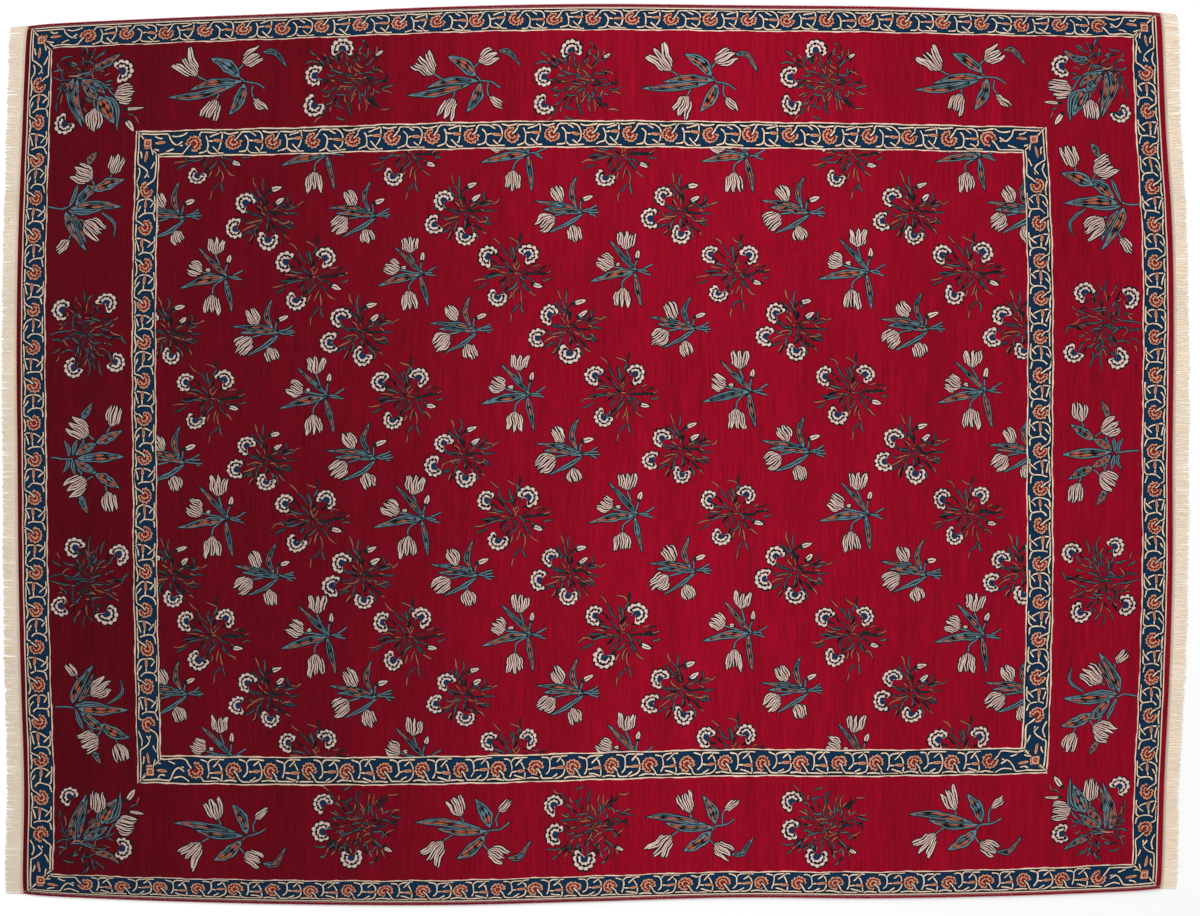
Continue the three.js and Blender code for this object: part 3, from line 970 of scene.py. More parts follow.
def draw_square_flower(pen, centre):
    """A small flower with four lobes, as a square with its sides drawn in."""
    centre = pen.shaken([centre])[0]
    angles = np.arange(16) * math.pi / 8
    for dye, half in SQUARE_FLOWER:
        reach = half * (1.12 + 0.2 * np.cos(4 * (angles - math.pi / 4)))
        ring = np.stack([np.cos(angles), np.sin(angles)], 1) * reach[:, None]
        pen.fill(dye, centre + ring)


def draw_guard_line(pen, points):
    line = curve(pen.shaken(points), 2)
    pen.band("guard_cream", line, np.full(len(line), LINE_WIDTH), LINE_EDGE, 1)


def draw_guard_bud(pen, base, tip):
    line = curve(pen.shaken([base, tip]), 4)
    share = np.linspace(0, 1, len(line))
    body = GUARD_BUD_WIDTH * np.sin(np.pi * (0.15 + 0.75 * share)) ** 0.8
    pen.band("peach", line, body, BUD_EDGE, 2)
    pen.fill("rust", ribbon(line[1:], body[1:] * GUARD_BUD_HEART))


def draw_guard_unit(pen, kind):
    for points in GUARD_LINES[kind]:
        draw_guard_line(pen, points)
    draw_guard_bud(pen, *GUARD_BUDS[kind])


def draw_rosette(pen, facing):
    centre = pen.shaken([(0, 0)])[0]
    facing += pen.random.normal(0, FAN_TURN)
    draw_fan(pen, ROSETTE, centre, facing, ROSETTE_RADIUS, ROSETTE_STRETCH)


print("guard unit:", len(GUARD_LINES[0]), "and", len(GUARD_LINES[1]), "lines")

# %% Both guards
EDGE_LINES = (  # dye, t from and t to
    ("guard_cream", 38.4, 42), ("outline", 35.6, 38.4), ("green_dark", 33.6, 35.6),
    ("outline", -38.4, -35.0), ("guard_cream", -42, -38.4),
)
CORNER_BLOCK = 168.0  # the stretch at each end of a side that has lines of its own
EDGE_STEP = 60.0
BORDER_STEP = 14.0  # between points on the edge of a zone, so that neighbours meet without gaps
GUARD_SHAKE = 0.9
UNIT_LENGTH = 131.0  # of the unit as its tables draw it
ROSETTE_FROM_START = 30.0  # from the start of a unit to its rosette
CORNER_LINES = (  # lines of a corner block, s and t from the side's outer corner
    ((3, 38), (29, 12)), ((56, -12), (81, -37)), ((60, -15), (80, -20)),
    ((68, 26), (77, 19), (93, 18)),
    ((14, 31), (60, 31), (108, 31), (116, 22), (130, 2), (143, -6), (160, -6)),
    ((125, 26), (143, 21), (160, 24), (176, 33)), ((144, -6), (160, 6)),
    ((103, -28), (116, -21), (131, -16)),
    ((82, -33), (103, -31), (150, -32), (164, -30), (173, -18), (184, -5)),
)
CORNER_FLOWER = (42, 0)
CORNER_BUD = ((68, 2), (105, 7))


def draw_edge_lines(chart, side):
    stations = np.linspace(0, side.length, math.ceil(side.length / EDGE_STEP) + 1)
    for dye, low, high in EDGE_LINES:
        start = GUARD_HALF_BAND - high
        reach = np.clip(stations, start, side.length - start)
        for a, b in zip(reach[:-1], reach[1:]):
            box = [(a, low), (b, low), (b, high), (a, high)]
            chart.append((DYE_NAMES.index(dye), side.place(box)))


def draw_guard(guard, seed):
    corners = RINGS[guard + ", outside"]
    chart = [(DYE_NAMES.index("guard_blue"), np.array(corners, float))]
    for number, (first, second, axis, unit) in enumerate(GUARD_SIDES):
        side = GuardSide(guard, first, second, axis)
        room = side.length - 2 * CORNER_BLOCK - 2 * ROSETTE_FROM_START
        count = round(room / unit)
        pitch = room / count
        for n in range(count + 1):
            start = CORNER_BLOCK + ROSETTE_FROM_START + n * pitch

            def carry(points, start=start, stretch=pitch / UNIT_LENGTH, side=side):
                return side.place(points * (stretch, 1) + (start, 0))

            pen = Pen(chart, carry, seed + 100 * number + n, GUARD_SHAKE)
            if n < count:
                draw_guard_unit(pen, n % 2)
            draw_rosette(pen, {0: FIRST_FACING, count: LAST_FACING}.get(n, ROSETTE_FACING))
            if 0 < n < count:
                draw_guard_line(pen, ROSETTE_STEM)
        for turned in (False, True):

            def carry(points, turned=turned, side=side):
                along = side.length - points[:, 0] if turned else points[:, 0]
                return side.place(np.stack([along, points[:, 1]], 1))

            pen = Pen(chart, carry, seed + 50 + number, GUARD_SHAKE)
            for points in CORNER_LINES:
                draw_guard_line(pen, points)
            draw_guard_bud(pen, *CORNER_BUD)
            draw_square_flower(pen, CORNER_FLOWER)
        draw_edge_lines(chart, side)
        print(guard, "side", number, "has", count, "units of", round(pitch), "mm")
    return chart


outer_chart = draw_guard("outer guard", 3000)
inner_chart = draw_guard("inner guard", 4000)
print("guards:", len(outer_chart), "and", len(inner_chart), "outlines")

# %% [markdown]
# ## Knotting the pile
# In wool every outline is a row of knots of another colour. On a mesh the same thing is done
# with a constrained triangulation: the edges of all outlines are put into one flat mesh, so
# that no triangle crosses a colour line, and each triangle takes the dye of the topmost
# outline over it. That keeps every line crisp at any distance. The carpet is divided into
# zones along its own guard lines, which keeps each mesh a reasonable size.

# %% Which dye each triangle takes
MERGE_SIZE = 0.02  # points closer than this are one
RIM_MERGE_SIZE = 1e-6


def is_inside(points, outline):
    """Whether each point lies in an outline, by its winding number."""
    a, b = outline, np.roll(outline, -1, axis=0)
    x, y = points[:, 0, None], points[:, 1, None]
    rises = (a[:, 1] <= y) & (b[:, 1] > y)
    falls = (a[:, 1] > y) & (b[:, 1] <= y)
    turn = (b[:, 0] - a[:, 0]) * (y - a[:, 1]) - (x - a[:, 0]) * (b[:, 1] - a[:, 1])
    return ((rises & (turn > 0)).sum(1) - (falls & (turn < 0)).sum(1)) != 0


def is_within(points, region, holes):
    """Whether each point lies in a region and in none of its holes."""
    keep = is_inside(points, region)
    for hole in holes:
        keep &= ~is_inside(points, hole)
    return keep


def top_dyes(centres, chart, base):
    """The dye of the last outline over each triangle's middle."""
    order = np.argsort(centres[:, 0])
    line = centres[order]
    found = np.full(len(centres), DYE_NAMES.index(base))
    for dye, outline in chart:
        low, high = outline.min(0), outline.max(0)
        first, last = np.searchsorted(line[:, 0], (low[0], high[0]))
        slab = line[first:last]
        near = np.nonzero((slab[:, 1] >= low[1]) & (slab[:, 1] <= high[1]))[0]
        if len(near):
            hit = near[is_inside(slab[near], outline)]
            found[order[first + hit]] = dye
    return found


def subdivided(corners, step):
    """A closed outline with points no further apart than a step."""
    corners = np.asarray(corners, float)
    points = []
    for a, b in zip(corners, np.roll(corners, -1, axis=0)):
        count = max(1, math.ceil(np.linalg.norm(b - a) / step))
        points.extend(a + (b - a) * k / count for k in range(count))
    return np.array(points)


print("dye rule ready")

# %% One flat mesh of all colour lines in a zone
GRID_STEP = 90.0  # plain wool still needs a point this often, to bend with the carpet
WHOLE_HULL = 0  # the triangulation fills all of the room between its outermost points


def triangulate(region, holes, chart, extra=(), step=GRID_STEP):
    """Points and triangles of a zone of the chart, with no triangle across a colour line."""
    low, high = region.min(0), region.max(0)
    outlines = [region, *holes, *extra]
    for _, outline in chart:
        if (outline.max(0) >= low).all() and (outline.min(0) <= high).all():
            outlines.append(outline)
    sizes = [len(outline) for outline in outlines]
    starts = np.concatenate([[0], np.cumsum(sizes)[:-1]])
    edges = []
    for start, size in zip(starts.tolist(), sizes):
        edges.extend((start + k, start + (k + 1) % size) for k in range(size))
    grid_x = np.arange(low[0] + step / 2, high[0], step)
    grid_y = np.arange(low[1] + step / 2, high[1], step)
    grid = np.stack(np.meshgrid(grid_x, grid_y), -1).reshape(-1, 2)
    grid = grid[is_inside(grid, region)]
    points = np.concatenate([*outlines, grid])
    made = delaunay_2d_cdt(points.tolist(), edges, [], WHOLE_HULL, MERGE_SIZE)
    points = np.array([tuple(point) for point in made[0]])
    triangles = np.array([face for face in made[2]])
    keep = is_within(points[triangles].mean(1), region, holes)
    used, triangles = np.unique(triangles[keep], return_inverse=True)
    return points[used], triangles.reshape(-1, 3)


print("triangulation ready")

# %% [markdown]
# ## From flat colour lines to wool
# Knots never line up exactly, so the drawn lines wander by a millimetre or two. Then the
# points are carried onto the uneven outline, the top gets the same gentle waves as the
# solid, and the edges lean down towards the selvedge and the fringe.

# %% Height and waviness of the pile
SELVEDGE_WIDTH = 12
GAP = 0.3
EDGE_BEVEL = 12
EDGE_THICKNESS = 8
BODY_THICKNESS = 10
PILE_WAVE = 0.7
FOUNDATION_THICKNESS = 3.0
PILE_ROOT = 0.2  # how far the pile reaches into the foundation
INSET = (SELVEDGE_WIDTH + GAP) / NOMINAL_WIDTH
BODY_HALF = np.array([CHART_LENGTH / 2, CHART_WIDTH * (0.5 - INSET)])
STEADY_EDGE = 40  # closer than this to the edge, lines wander less and less
FULL_TURN = 6.28
WANDER = (  # size of a wave and its two wavelengths, in millimetres
    (1.3, 211.0, 173.0), (0.8, 67.0, 83.0), (0.5, 23.0, 31.0), (0.4, 11.0, 13.0),
)


def from_edge(points):
    """Millimetres from each chart point to the nearest edge of the pile."""
    return (BODY_HALF - np.abs(points)).min(1)


def wandered(points):
    """Chart points moved a little, as knots are, but not at the carpet's edges."""
    x, y = points.T
    shift = np.zeros_like(points)
    for number, (size, along, across) in enumerate(WANDER):
        shift[:, 0] += size * np.sin(FULL_TURN * (x / across + y / along) + number)
        shift[:, 1] += size * np.sin(FULL_TURN * (x / along - y / across) + 2.1 * number)
    return points + shift * np.clip(from_edge(points) / STEADY_EDGE, 0, 1)[:, None]


def on_carpet(points):
    """Where chart points lie on the carpet, in metres."""
    return lay(0.5 + points[:, 0] / CHART_LENGTH, 0.5 + points[:, 1] / CHART_WIDTH) * MM


def pile_height(points):
    """Height of the pile over the floor, in metres."""
    u, v = 0.5 + points[:, 0] / CHART_LENGTH, 0.5 + points[:, 1] / CHART_WIDTH
    wave = PILE_WAVE * np.sin(9.1 * u + 2.3 * np.sin(5 * v)) * np.cos(7.3 * v + 1.1)
    rise = np.clip(from_edge(points) / EDGE_BEVEL, 0, 1)
    return (EDGE_THICKNESS + (BODY_THICKNESS + wave - EDGE_THICKNESS) * (1 - (1 - rise) ** 2)) * MM


print("pile from", EDGE_THICKNESS, "to", BODY_THICKNESS, "mm high")

# %% Making a mesh, with dyes and a map
DYE_LAYER = "dye"  # colour of the yarn; its alpha is 1 on the plain ground
BAKE_MAP = "OFBake"


def new_mesh(name, points, triangles, dyes=None, maps=None, smooth=None):
    mesh = bpy.data.meshes.new(name)
    mesh.vertices.add(len(points))
    mesh.vertices.foreach_set("co", points.astype(np.float32).ravel())
    mesh.loops.add(3 * len(triangles))
    mesh.loops.foreach_set("vertex_index", triangles.astype(np.int32).ravel())
    mesh.polygons.add(len(triangles))
    mesh.polygons.foreach_set("loop_start", np.arange(0, 3 * len(triangles), 3, dtype=np.int32))
    if dyes is not None:
        ground = (dyes == DYE_NAMES.index("ground")).astype(float)
        colours = np.concatenate([DYE_VALUES[dyes], ground[:, None]], 1)
        layer = mesh.color_attributes.new(DYE_LAYER, "FLOAT_COLOR", "CORNER")
        layer.data.foreach_set("color", np.repeat(colours, 3, axis=0).astype(np.float32).ravel())
    if maps is not None:
        layer = mesh.uv_layers.new(name=BAKE_MAP)
        layer.uv.foreach_set("vector", maps.astype(np.float32).ravel())
    if smooth is not None:
        mesh.polygons.foreach_set("use_smooth", smooth)
    mesh.update(calc_edges=True)
    mesh.validate()
    return placed(name, mesh)


def wall_faces(a, b, c, d):
    """Two triangles for each row of four points, given in order round the wall."""
    return np.concatenate([np.column_stack([a, b, c]), np.column_stack([a, c, d])])


def border_edges(triangles):
    """Edges that only one triangle has, in that triangle's direction."""
    edges = np.concatenate([triangles[:, [0, 1]], triangles[:, [1, 2]], triangles[:, [2, 0]]])
    span = int(edges.max()) + 1
    forward = edges[:, 0] * span + edges[:, 1]
    backward = edges[:, 1] * span + edges[:, 0]
    return edges[~np.isin(forward, backward)]


print("mesh helpers ready")

# %% Maps
MAP_BORDER = 0.03
HIDDEN_STRIP = (0.02, 0.975)  # height and start of the map's strip for walls and hidden faces
UNDERSIDE_SHARE = 0.96  # of the map's height, for the foundation's underside


def folded_map(corners, centres, locate, total, width):
    """Map places of triangle corners on a long strip that is folded into rows of a square."""
    rows = max(1, round(math.sqrt(total / width / 1.08)))
    row_length = total / rows
    margin = GRID_STEP
    s, _, side = locate(centres, None)
    row = np.clip((s / row_length).astype(int), 0, rows - 1)
    corner_s, corner_t, _ = locate(corners.reshape(-1, 2), np.repeat(side, 3))
    across = np.clip(corner_t / width, 0, 1) * (1 - 2 * MAP_BORDER) + MAP_BORDER
    row_of_corner = np.repeat(row, 3)
    along = (corner_s - row_of_corner * row_length + margin) / (row_length + 2 * margin)
    return np.stack([np.clip(along, 0, 1), (row_of_corner + across) / (rows + 0.5)], 1)


def map_from_above(points, faces):
    """Map places of triangle corners, as they lie on the floor."""
    corners = points[faces].reshape(-1, 3)
    return (corners[:, :2] - points[:, :2].min(0)) / np.ptp(points[:, :2], axis=0)


def in_hidden_strip(places):
    height, start = HIDDEN_STRIP
    return places * (1, height) + (0, start)


print("map helpers ready")

# %% Mesh of a zone, closed all round
SLIVER = 0.05  # square millimetres; smaller triangles are shaded flat, like the walls
SOFT_EDGE = 24.0  # only the edge that leans down is shaded smooth; the rest is as good as level
RIM_SLIVER = 0.02  # square millimetres; smaller ones on the rim are left out


def turned_area(corners):
    """Area of flat triangles, below zero where one is folded over."""
    ab, ac = corners[:, 1] - corners[:, 0], corners[:, 2] - corners[:, 0]
    return (ab[:, 0] * ac[:, 1] - ab[:, 1] * ac[:, 0]) / 2


def without_slivers(flat, triangles):
    """Triangles without the needle-thin ones that rounding leaves along the rim of a zone."""
    while True:
        span = int(triangles.max()) + 1
        rim = border_edges(triangles) @ (span, 1)
        at_rim = np.isin(triangles * span + np.roll(triangles, -1, axis=1), rim).any(1)
        keep = ~at_rim | (turned_area(flat[triangles]) > RIM_SLIVER)
        if keep.all():
            return triangles
        triangles = triangles[keep]


def knot_zone(name, region, holes, chart, base, locate, total, width, extra=()):
    """A zone of the pile as a closed slab: coloured top, walls, and a plain underside."""
    region = subdivided(region, BORDER_STEP)
    holes = [subdivided(hole, BORDER_STEP) for hole in holes]
    flat, triangles = triangulate(region, holes, chart, extra)
    triangles = without_slivers(flat, triangles)
    moved = wandered(flat)
    sizes = turned_area(moved[triangles])
    centres = flat[triangles].mean(1)
    soft = (sizes > SLIVER) & (from_edge(centres) < SOFT_EDGE)
    dyes = top_dyes(centres, chart, base)
    maps = folded_map(flat[triangles], centres, locate, total, width)
    top = np.column_stack([on_carpet(moved), pile_height(flat)])
    rim = border_edges(triangles)
    rim_points, local = np.unique(rim, return_inverse=True)
    below = top[rim_points].copy()
    below[:, 2] = (FOUNDATION_THICKNESS - PILE_ROOT) * MM
    under = len(top)
    a, b = local.reshape(-1, 2).T + under
    walls = wall_faces(a, b, rim[:, 1], rim[:, 0])
    rim_places, rim_edges = flat[rim_points].tolist(), local.reshape(-1, 2).tolist()
    made = delaunay_2d_cdt(rim_places, rim_edges, [], WHOLE_HULL, RIM_MERGE_SIZE)
    back = np.array([[made[3][k][0] for k in face] for face in made[2]])
    keep = is_within(flat[rim_points][back].mean(1), region, holes)
    back = back[keep][:, ::-1] + under
    hidden = np.concatenate([walls, back])
    points = np.concatenate([top, below])
    ground = np.full(len(hidden), DYE_NAMES.index("ground"))
    tucked = in_hidden_strip(map_from_above(points, hidden))
    piece = new_mesh(name, points, np.concatenate([triangles, hidden]),
                     np.concatenate([dyes, ground]), np.concatenate([maps, tucked]),
                     np.concatenate([soft, np.zeros(len(hidden), bool)]))
    print(name, len(piece.data.polygons), "triangles")
    return piece


print("zone builder ready")

# %% [markdown]
# ## The zones of the pile
# Each zone has a rule that says where a point lies along and across it, so that its long
# strips can be folded into rows of a square map.

# %% Places along strips and rings
def strip_place(low_x, low_y):
    """Rule for a plain strip along x."""

    def locate(points, side):
        return points[:, 0] - low_x, points[:, 1] - low_y, np.zeros(len(points), int)

    return locate


def ring_place(corners):
    """Rule for a ring: s runs round it side by side, t inwards from its outer edge."""
    near_left, _, far_right, _ = (np.array(corner, float) for corner in corners)
    length, width = far_right - near_left
    begins = np.cumsum([0, length, width, length])

    def locate(points, side):
        x, y = (points - near_left).T
        inwards = np.stack([width - y, length - x, y, x])
        along = np.stack([x, width - y, length - x, y]) + begins[:, None]
        side = inwards.argmin(0) if side is None else side
        pick = np.arange(len(points))
        return along[side, pick], inwards[side, pick], side

    return locate


print("strip and ring rules ready")

# %% Knot all six zones
FIELD_CUTS = (-340.0, 345.0)  # heights at which the field is divided into three pieces
body_corners = [(-BODY_HALF[0], -BODY_HALF[1]), (BODY_HALF[0], -BODY_HALF[1]),
                (BODY_HALF[0], BODY_HALF[1]), (-BODY_HALF[0], BODY_HALF[1])]
field_corners = RINGS["inner guard, inside"]


def side_at(corner_low, corner_high, height):
    """The point of a slanting field side at a height."""
    share = (height - corner_low[1]) / (corner_high[1] - corner_low[1])
    return (corner_low[0] + (corner_high[0] - corner_low[0]) * share, height)


left_cuts = [side_at(field_corners[0], field_corners[3], cut) for cut in FIELD_CUTS]
right_cuts = [side_at(field_corners[1], field_corners[2], cut) for cut in FIELD_CUTS]
FIELD_REGIONS = {
    "pile_field_near": (field_corners[0], field_corners[1], right_cuts[0], left_cuts[0]),
    "pile_field_middle": (left_cuts[0], right_cuts[0], right_cuts[1], left_cuts[1]),
    "pile_field_far": (left_cuts[1], right_cuts[1], field_corners[2], field_corners[3]),
}
pile_zones = []
for name, region in FIELD_REGIONS.items():
    low, high = np.min(region, 0), np.max(region, 0)
    pile_zones.append(knot_zone(name, region, [], field_chart, "ground",
                                strip_place(*low), high[0] - low[0], high[1] - low[1]))

BEVEL_LINES = (3.0, 7.0, 12.0)  # millimetres in from the edge, where the bevel needs points
bevel_rings = [
    subdivided([(x - math.copysign(line, x), y - math.copysign(line, y)) for x, y in body_corners],
               EDGE_STEP)
    for line in BEVEL_LINES
]
RING_ZONES = (  # name, outer edge, inner edge, chart, base dye, width, extra outlines
    ("pile_inner_guard", RINGS["inner guard, outside"], RINGS["inner guard, inside"],
     inner_chart, "guard_blue", 100.0, ()),
    ("pile_main_border", RINGS["outer guard, inside"], RINGS["inner guard, outside"],
     border_chart, "ground", 330.0, ()),
    ("pile_outer_guard", body_corners, RINGS["outer guard, inside"],
     outer_chart, "ground", 105.0, bevel_rings),
)
for name, outer, inner, chart, base, width, extra in RING_ZONES:
    size = np.ptp(np.array(outer), axis=0).sum() * 2
    pile_zones.append(knot_zone(name, outer, [np.array(inner, float)], chart, base,
                                ring_place(outer), size, width, extra))
print("pile:", sum(len(zone.data.polygons) for zone in pile_zones), "triangles")

# %% [markdown]
# ## Shader arithmetic
# The finishes below are written as plain formulas. A small class wraps one socket of the
# node tree, and every operator on it adds the Math node that does the sum.

# %% Sockets that can be calculated with
class Value:
    """One socket of a material's nodes."""

    def __init__(self, tree, socket):
        self.tree = tree
        self.socket = socket

    def node(self, kind, inputs, stops=(), **settings):
        """Any other node: its settings and stops, then values or links by socket name or place."""
        made = self.tree.nodes.new(kind)
        for name, value in settings.items():
            setattr(made, name, value)
        for k, (place, shade) in enumerate(stops):
            ramp = made.color_ramp.elements
            stop = ramp[k] if k < 2 else ramp.new(place)
            stop.position = place
            stop.color = (shade, shade, shade, 1)
        for name, value in inputs.items():
            if isinstance(value, Value):
                self.tree.links.new(value.socket, made.inputs[name])
            else:
                made.inputs[name].default_value = value
        return Value(self.tree, made.outputs[0])

    def maths(self, operation, first, second):
        return self.node("ShaderNodeMath", {0: first, 1: second}, operation=operation)

    def __add__(self, other):
        return self.maths("ADD", self, other)

    def __radd__(self, other):
        return self.maths("ADD", other, self)

    def __sub__(self, other):
        return self.maths("SUBTRACT", self, other)

    def __rsub__(self, other):
        return self.maths("SUBTRACT", other, self)

    def __mul__(self, other):
        return self.maths("MULTIPLY", self, other)

    def __rmul__(self, other):
        return self.maths("MULTIPLY", other, self)

    def __truediv__(self, other):
        return self.maths("DIVIDE", self, other)

    def __rtruediv__(self, other):
        return self.maths("DIVIDE", other, self)

    def noise(self, vector, scale, detail):
        inputs = {"Vector": vector, "Scale": scale, "Detail": detail}
        return self.node("ShaderNodeTexNoise", inputs)

    def scaled(self, factors):
        """This vector times three numbers."""
        return self.node("ShaderNodeVectorMath", {0: self, 1: factors}, operation="MULTIPLY")

    def shaded(self, factor):
        """This colour times a number that varies."""
        return self.node("ShaderNodeVectorMath", {0: self, "Scale": factor}, operation="SCALE")


ROUGHNESS = 0.9  # of cloth and floor, where nothing varies it
SPECULAR = 0.06
SHEEN_ROUGHNESS = 0.6


def new_finish(name, sheen=0.0):
    """A material with its shader, and the places of its surface as a Value."""
    material = bpy.data.materials.new(name)
    material.use_nodes = True
    tree = material.node_tree
    shader = tree.nodes["Principled BSDF"]
    shader.inputs["Roughness"].default_value = ROUGHNESS
    shader.inputs["Specular IOR Level"].default_value = SPECULAR
    shader.inputs["Sheen Weight"].default_value = sheen
    shader.inputs["Sheen Roughness"].default_value = SHEEN_ROUGHNESS
    places = Value(tree, tree.nodes.new("ShaderNodeTexCoord").outputs["Object"])
    return material, shader, places


def finish_with(shader, values):
    for name, value in values.items():
        value.tree.links.new(value.socket, shader.inputs[name])


print("shader arithmetic ready")

# %% [markdown]
# ## Abrash and painted shade
# Hand-dyed wool never matches from batch to batch, so a real carpet has bands of slightly
# lighter and darker red along its rows of knots. Dyers call it abrash. Here a ramp along
# the carpet paints shade that darkens the whole pile towards its left end, with some slow
# abrash in it; stretched noise gives the bands and streaks, and a cell of noise the size
# of a knot gives the grain.

# %% Wool of the pile
KNOT_PITCH = (0.0030, 0.0027)  # metres along and across the carpet
SHADE_AND_ABRASH_RAMP = (  # place along the carpet from 0 to 1, and brightness there: painted shade that darkens the pile towards its left end, with some abrash
    (0.0, 0.26), (0.08, 0.28), (0.16, 0.36), (0.24, 0.39), (0.33, 0.54), (0.42, 0.77),
    (0.52, 0.90), (0.62, 1.0), (0.78, 0.93), (0.90, 0.88), (1.0, 0.87),
)
PATTERN_SHARE = 0.48  # how much of the painted shade and abrash the other colours show
ABRASH_NOISE = (  # stretch along the carpet and across it, detail, strength
    (9.0, 0.55, 3.0, 0.5), (55.0, 2.0, 2.0, 0.4), (210.0, 9.0, 1.0, 1.0),
)
CLOUDS = (0.9, 2.0, 0.2)  # scale, detail and strength of wide soft patches
GRAIN_SHADE = 0.22  # how much the colour varies from knot to knot
WORN_SHADE = 0.3  # how much it varies in small worn patches
WORN_SCALE = 38.0
PILE_BUMP = {"Strength": 0.55, "Distance": 0.0012}


def knot_grain(places):
    """A random value for each knot."""
    cell = places.scaled((1 / KNOT_PITCH[0], 1 / KNOT_PITCH[1], 0))
    corner = cell.node("ShaderNodeVectorMath", {0: cell}, operation="FLOOR")
    return cell.node("ShaderNodeTexWhiteNoise", {"Vector": corner}, noise_dimensions="2D")


def shade_and_abrash(places):
    split = places.node("ShaderNodeSeparateXYZ", {0: places})
    along = split / (CHART_LENGTH * MM) + 0.5
    # painted shade with some abrash: the ramp darkens every colour towards the carpet's left end
    slow = along.node("ShaderNodeValToRGB", {0: along}, stops=SHADE_AND_ABRASH_RAMP)
    scale, detail, strength = CLOUDS
    change = (places.noise(places, scale, detail) - 0.5) * strength + 1.0
    for stretch_x, stretch_y, detail, strength in ABRASH_NOISE:
        bands = places.noise(places.scaled((stretch_x, stretch_y, 1.0)), 1.0, detail)
        change = change + (bands - 0.5) * strength
    return slow * change


def wool_finish(name, sheen):
    material, shader, places = new_finish(name, sheen)
    tree = material.node_tree
    dye = tree.nodes.new("ShaderNodeAttribute")
    dye.attribute_name = DYE_LAYER
    colour, is_ground = Value(tree, dye.outputs["Color"]), Value(tree, dye.outputs["Alpha"])
    grain = knot_grain(places)
    share = is_ground * (1 - PATTERN_SHARE) + PATTERN_SHARE
    # painted shade and abrash: all of it on the ground, PATTERN_SHARE of it on the other colours
    light = (shade_and_abrash(places) - 1.0) * share + 1.0
    worn = places.noise(places, WORN_SCALE, 3.0)
    shade = light * (1.0 + (grain - 0.5) * GRAIN_SHADE) * (1.0 + (worn - 0.5) * WORN_SHADE)
    height = grain * 0.5 + worn * 0.7
    bump = height.node("ShaderNodeBump", {"Height": height, **PILE_BUMP})
    finish_with(shader, {"Base Color": colour.shaded(shade), "Normal": bump,
                         "Roughness": 0.82 + worn * 0.14})
    return material


pile_wool = wool_finish("pile_wool", 0.02)
for zone in pile_zones:
    zone.data.materials.append(pile_wool)
print("abrash ramp with", len(SHADE_AND_ABRASH_RAMP), "stops")

# %% [markdown]
# ## The foundation and its back
# Under the pile lies the woven foundation, cotton warps with wool wefts. From below the
# knots show as small bars in the same colours, so the underside carries the bands of the
# design. It is one flat sheet, and everything else is tied or sewn to it.

# %% Foundation sheet
SHEET_STEP = 85.0  # between points of the foundation
BACK_BANDS = (  # outline of a band, from the edge inwards, and its dye
    (body_corners, "ground"), (RINGS["outer guard, outside"], "guard_blue"),
    (RINGS["outer guard, inside"], "ground"), (RINGS["inner guard, outside"], "guard_blue"),
    (RINGS["inner guard, inside"], "ground"),
)


def make_foundation():
    region = subdivided(body_corners, SHEET_STEP)
    chart = [(DYE_NAMES.index(dye), subdivided(outline, SHEET_STEP)) for outline, dye in BACK_BANDS]
    flat, triangles = triangulate(region, [], chart, step=SHEET_STEP)
    triangles = without_slivers(flat, triangles)
    dyes = top_dyes(flat[triangles].mean(1), chart, "ground")
    place = on_carpet(wandered(flat))
    count = len(flat)
    points = np.concatenate([np.column_stack([place, np.zeros(count)]),
                             np.column_stack([place, np.full(count, FOUNDATION_THICKNESS * MM)])])
    rim = border_edges(triangles)
    a, b = rim.T
    walls = wall_faces(a, b, b + count, a + count)
    faces = np.concatenate([triangles[:, ::-1], triangles + count, walls])
    wall_dyes = np.full(len(walls), DYE_NAMES.index("ground"))
    spread = map_from_above(points, faces)
    underside, others = np.split(spread, [3 * len(triangles)])
    spread = np.concatenate([underside * (1, UNDERSIDE_SHARE), in_hidden_strip(others)])
    return new_mesh("foundation", points, faces, np.concatenate([dyes, dyes, wall_dyes]), spread)


foundation = make_foundation()
# the back carries the pile's painted shade too, darker towards the carpet's left end
foundation.data.materials.append(wool_finish("woven_back", 0.0))
print("foundation:", len(foundation.data.polygons), "triangles")

# %% [markdown]
# ## Yarn finishes
# The selvedge is wrapped in the same wool as the ground, and the fringe is the bare end of
# the cotton warps, twisted and slightly soiled. Fine stretched noise stands for the twist.
# All three yarns are painted darker towards the carpet's left end as shade; the selvedge
# wool is painted brighter than the ground's dye and the fringe cotton brighter than the
# web's, against the shade of their round strands.

# %% Selvedge wool and warp cotton
YARN_SHEEN = 0.02
FIBRE_SHADE = 0.56  # how much the colour varies along the twist
PATCH_SHADE = 0.28  # how much it varies in soiled patches
PATCH_SCALE = 5.0
YARN_BUMP = {"Strength": 0.5, "Distance": 0.0008}


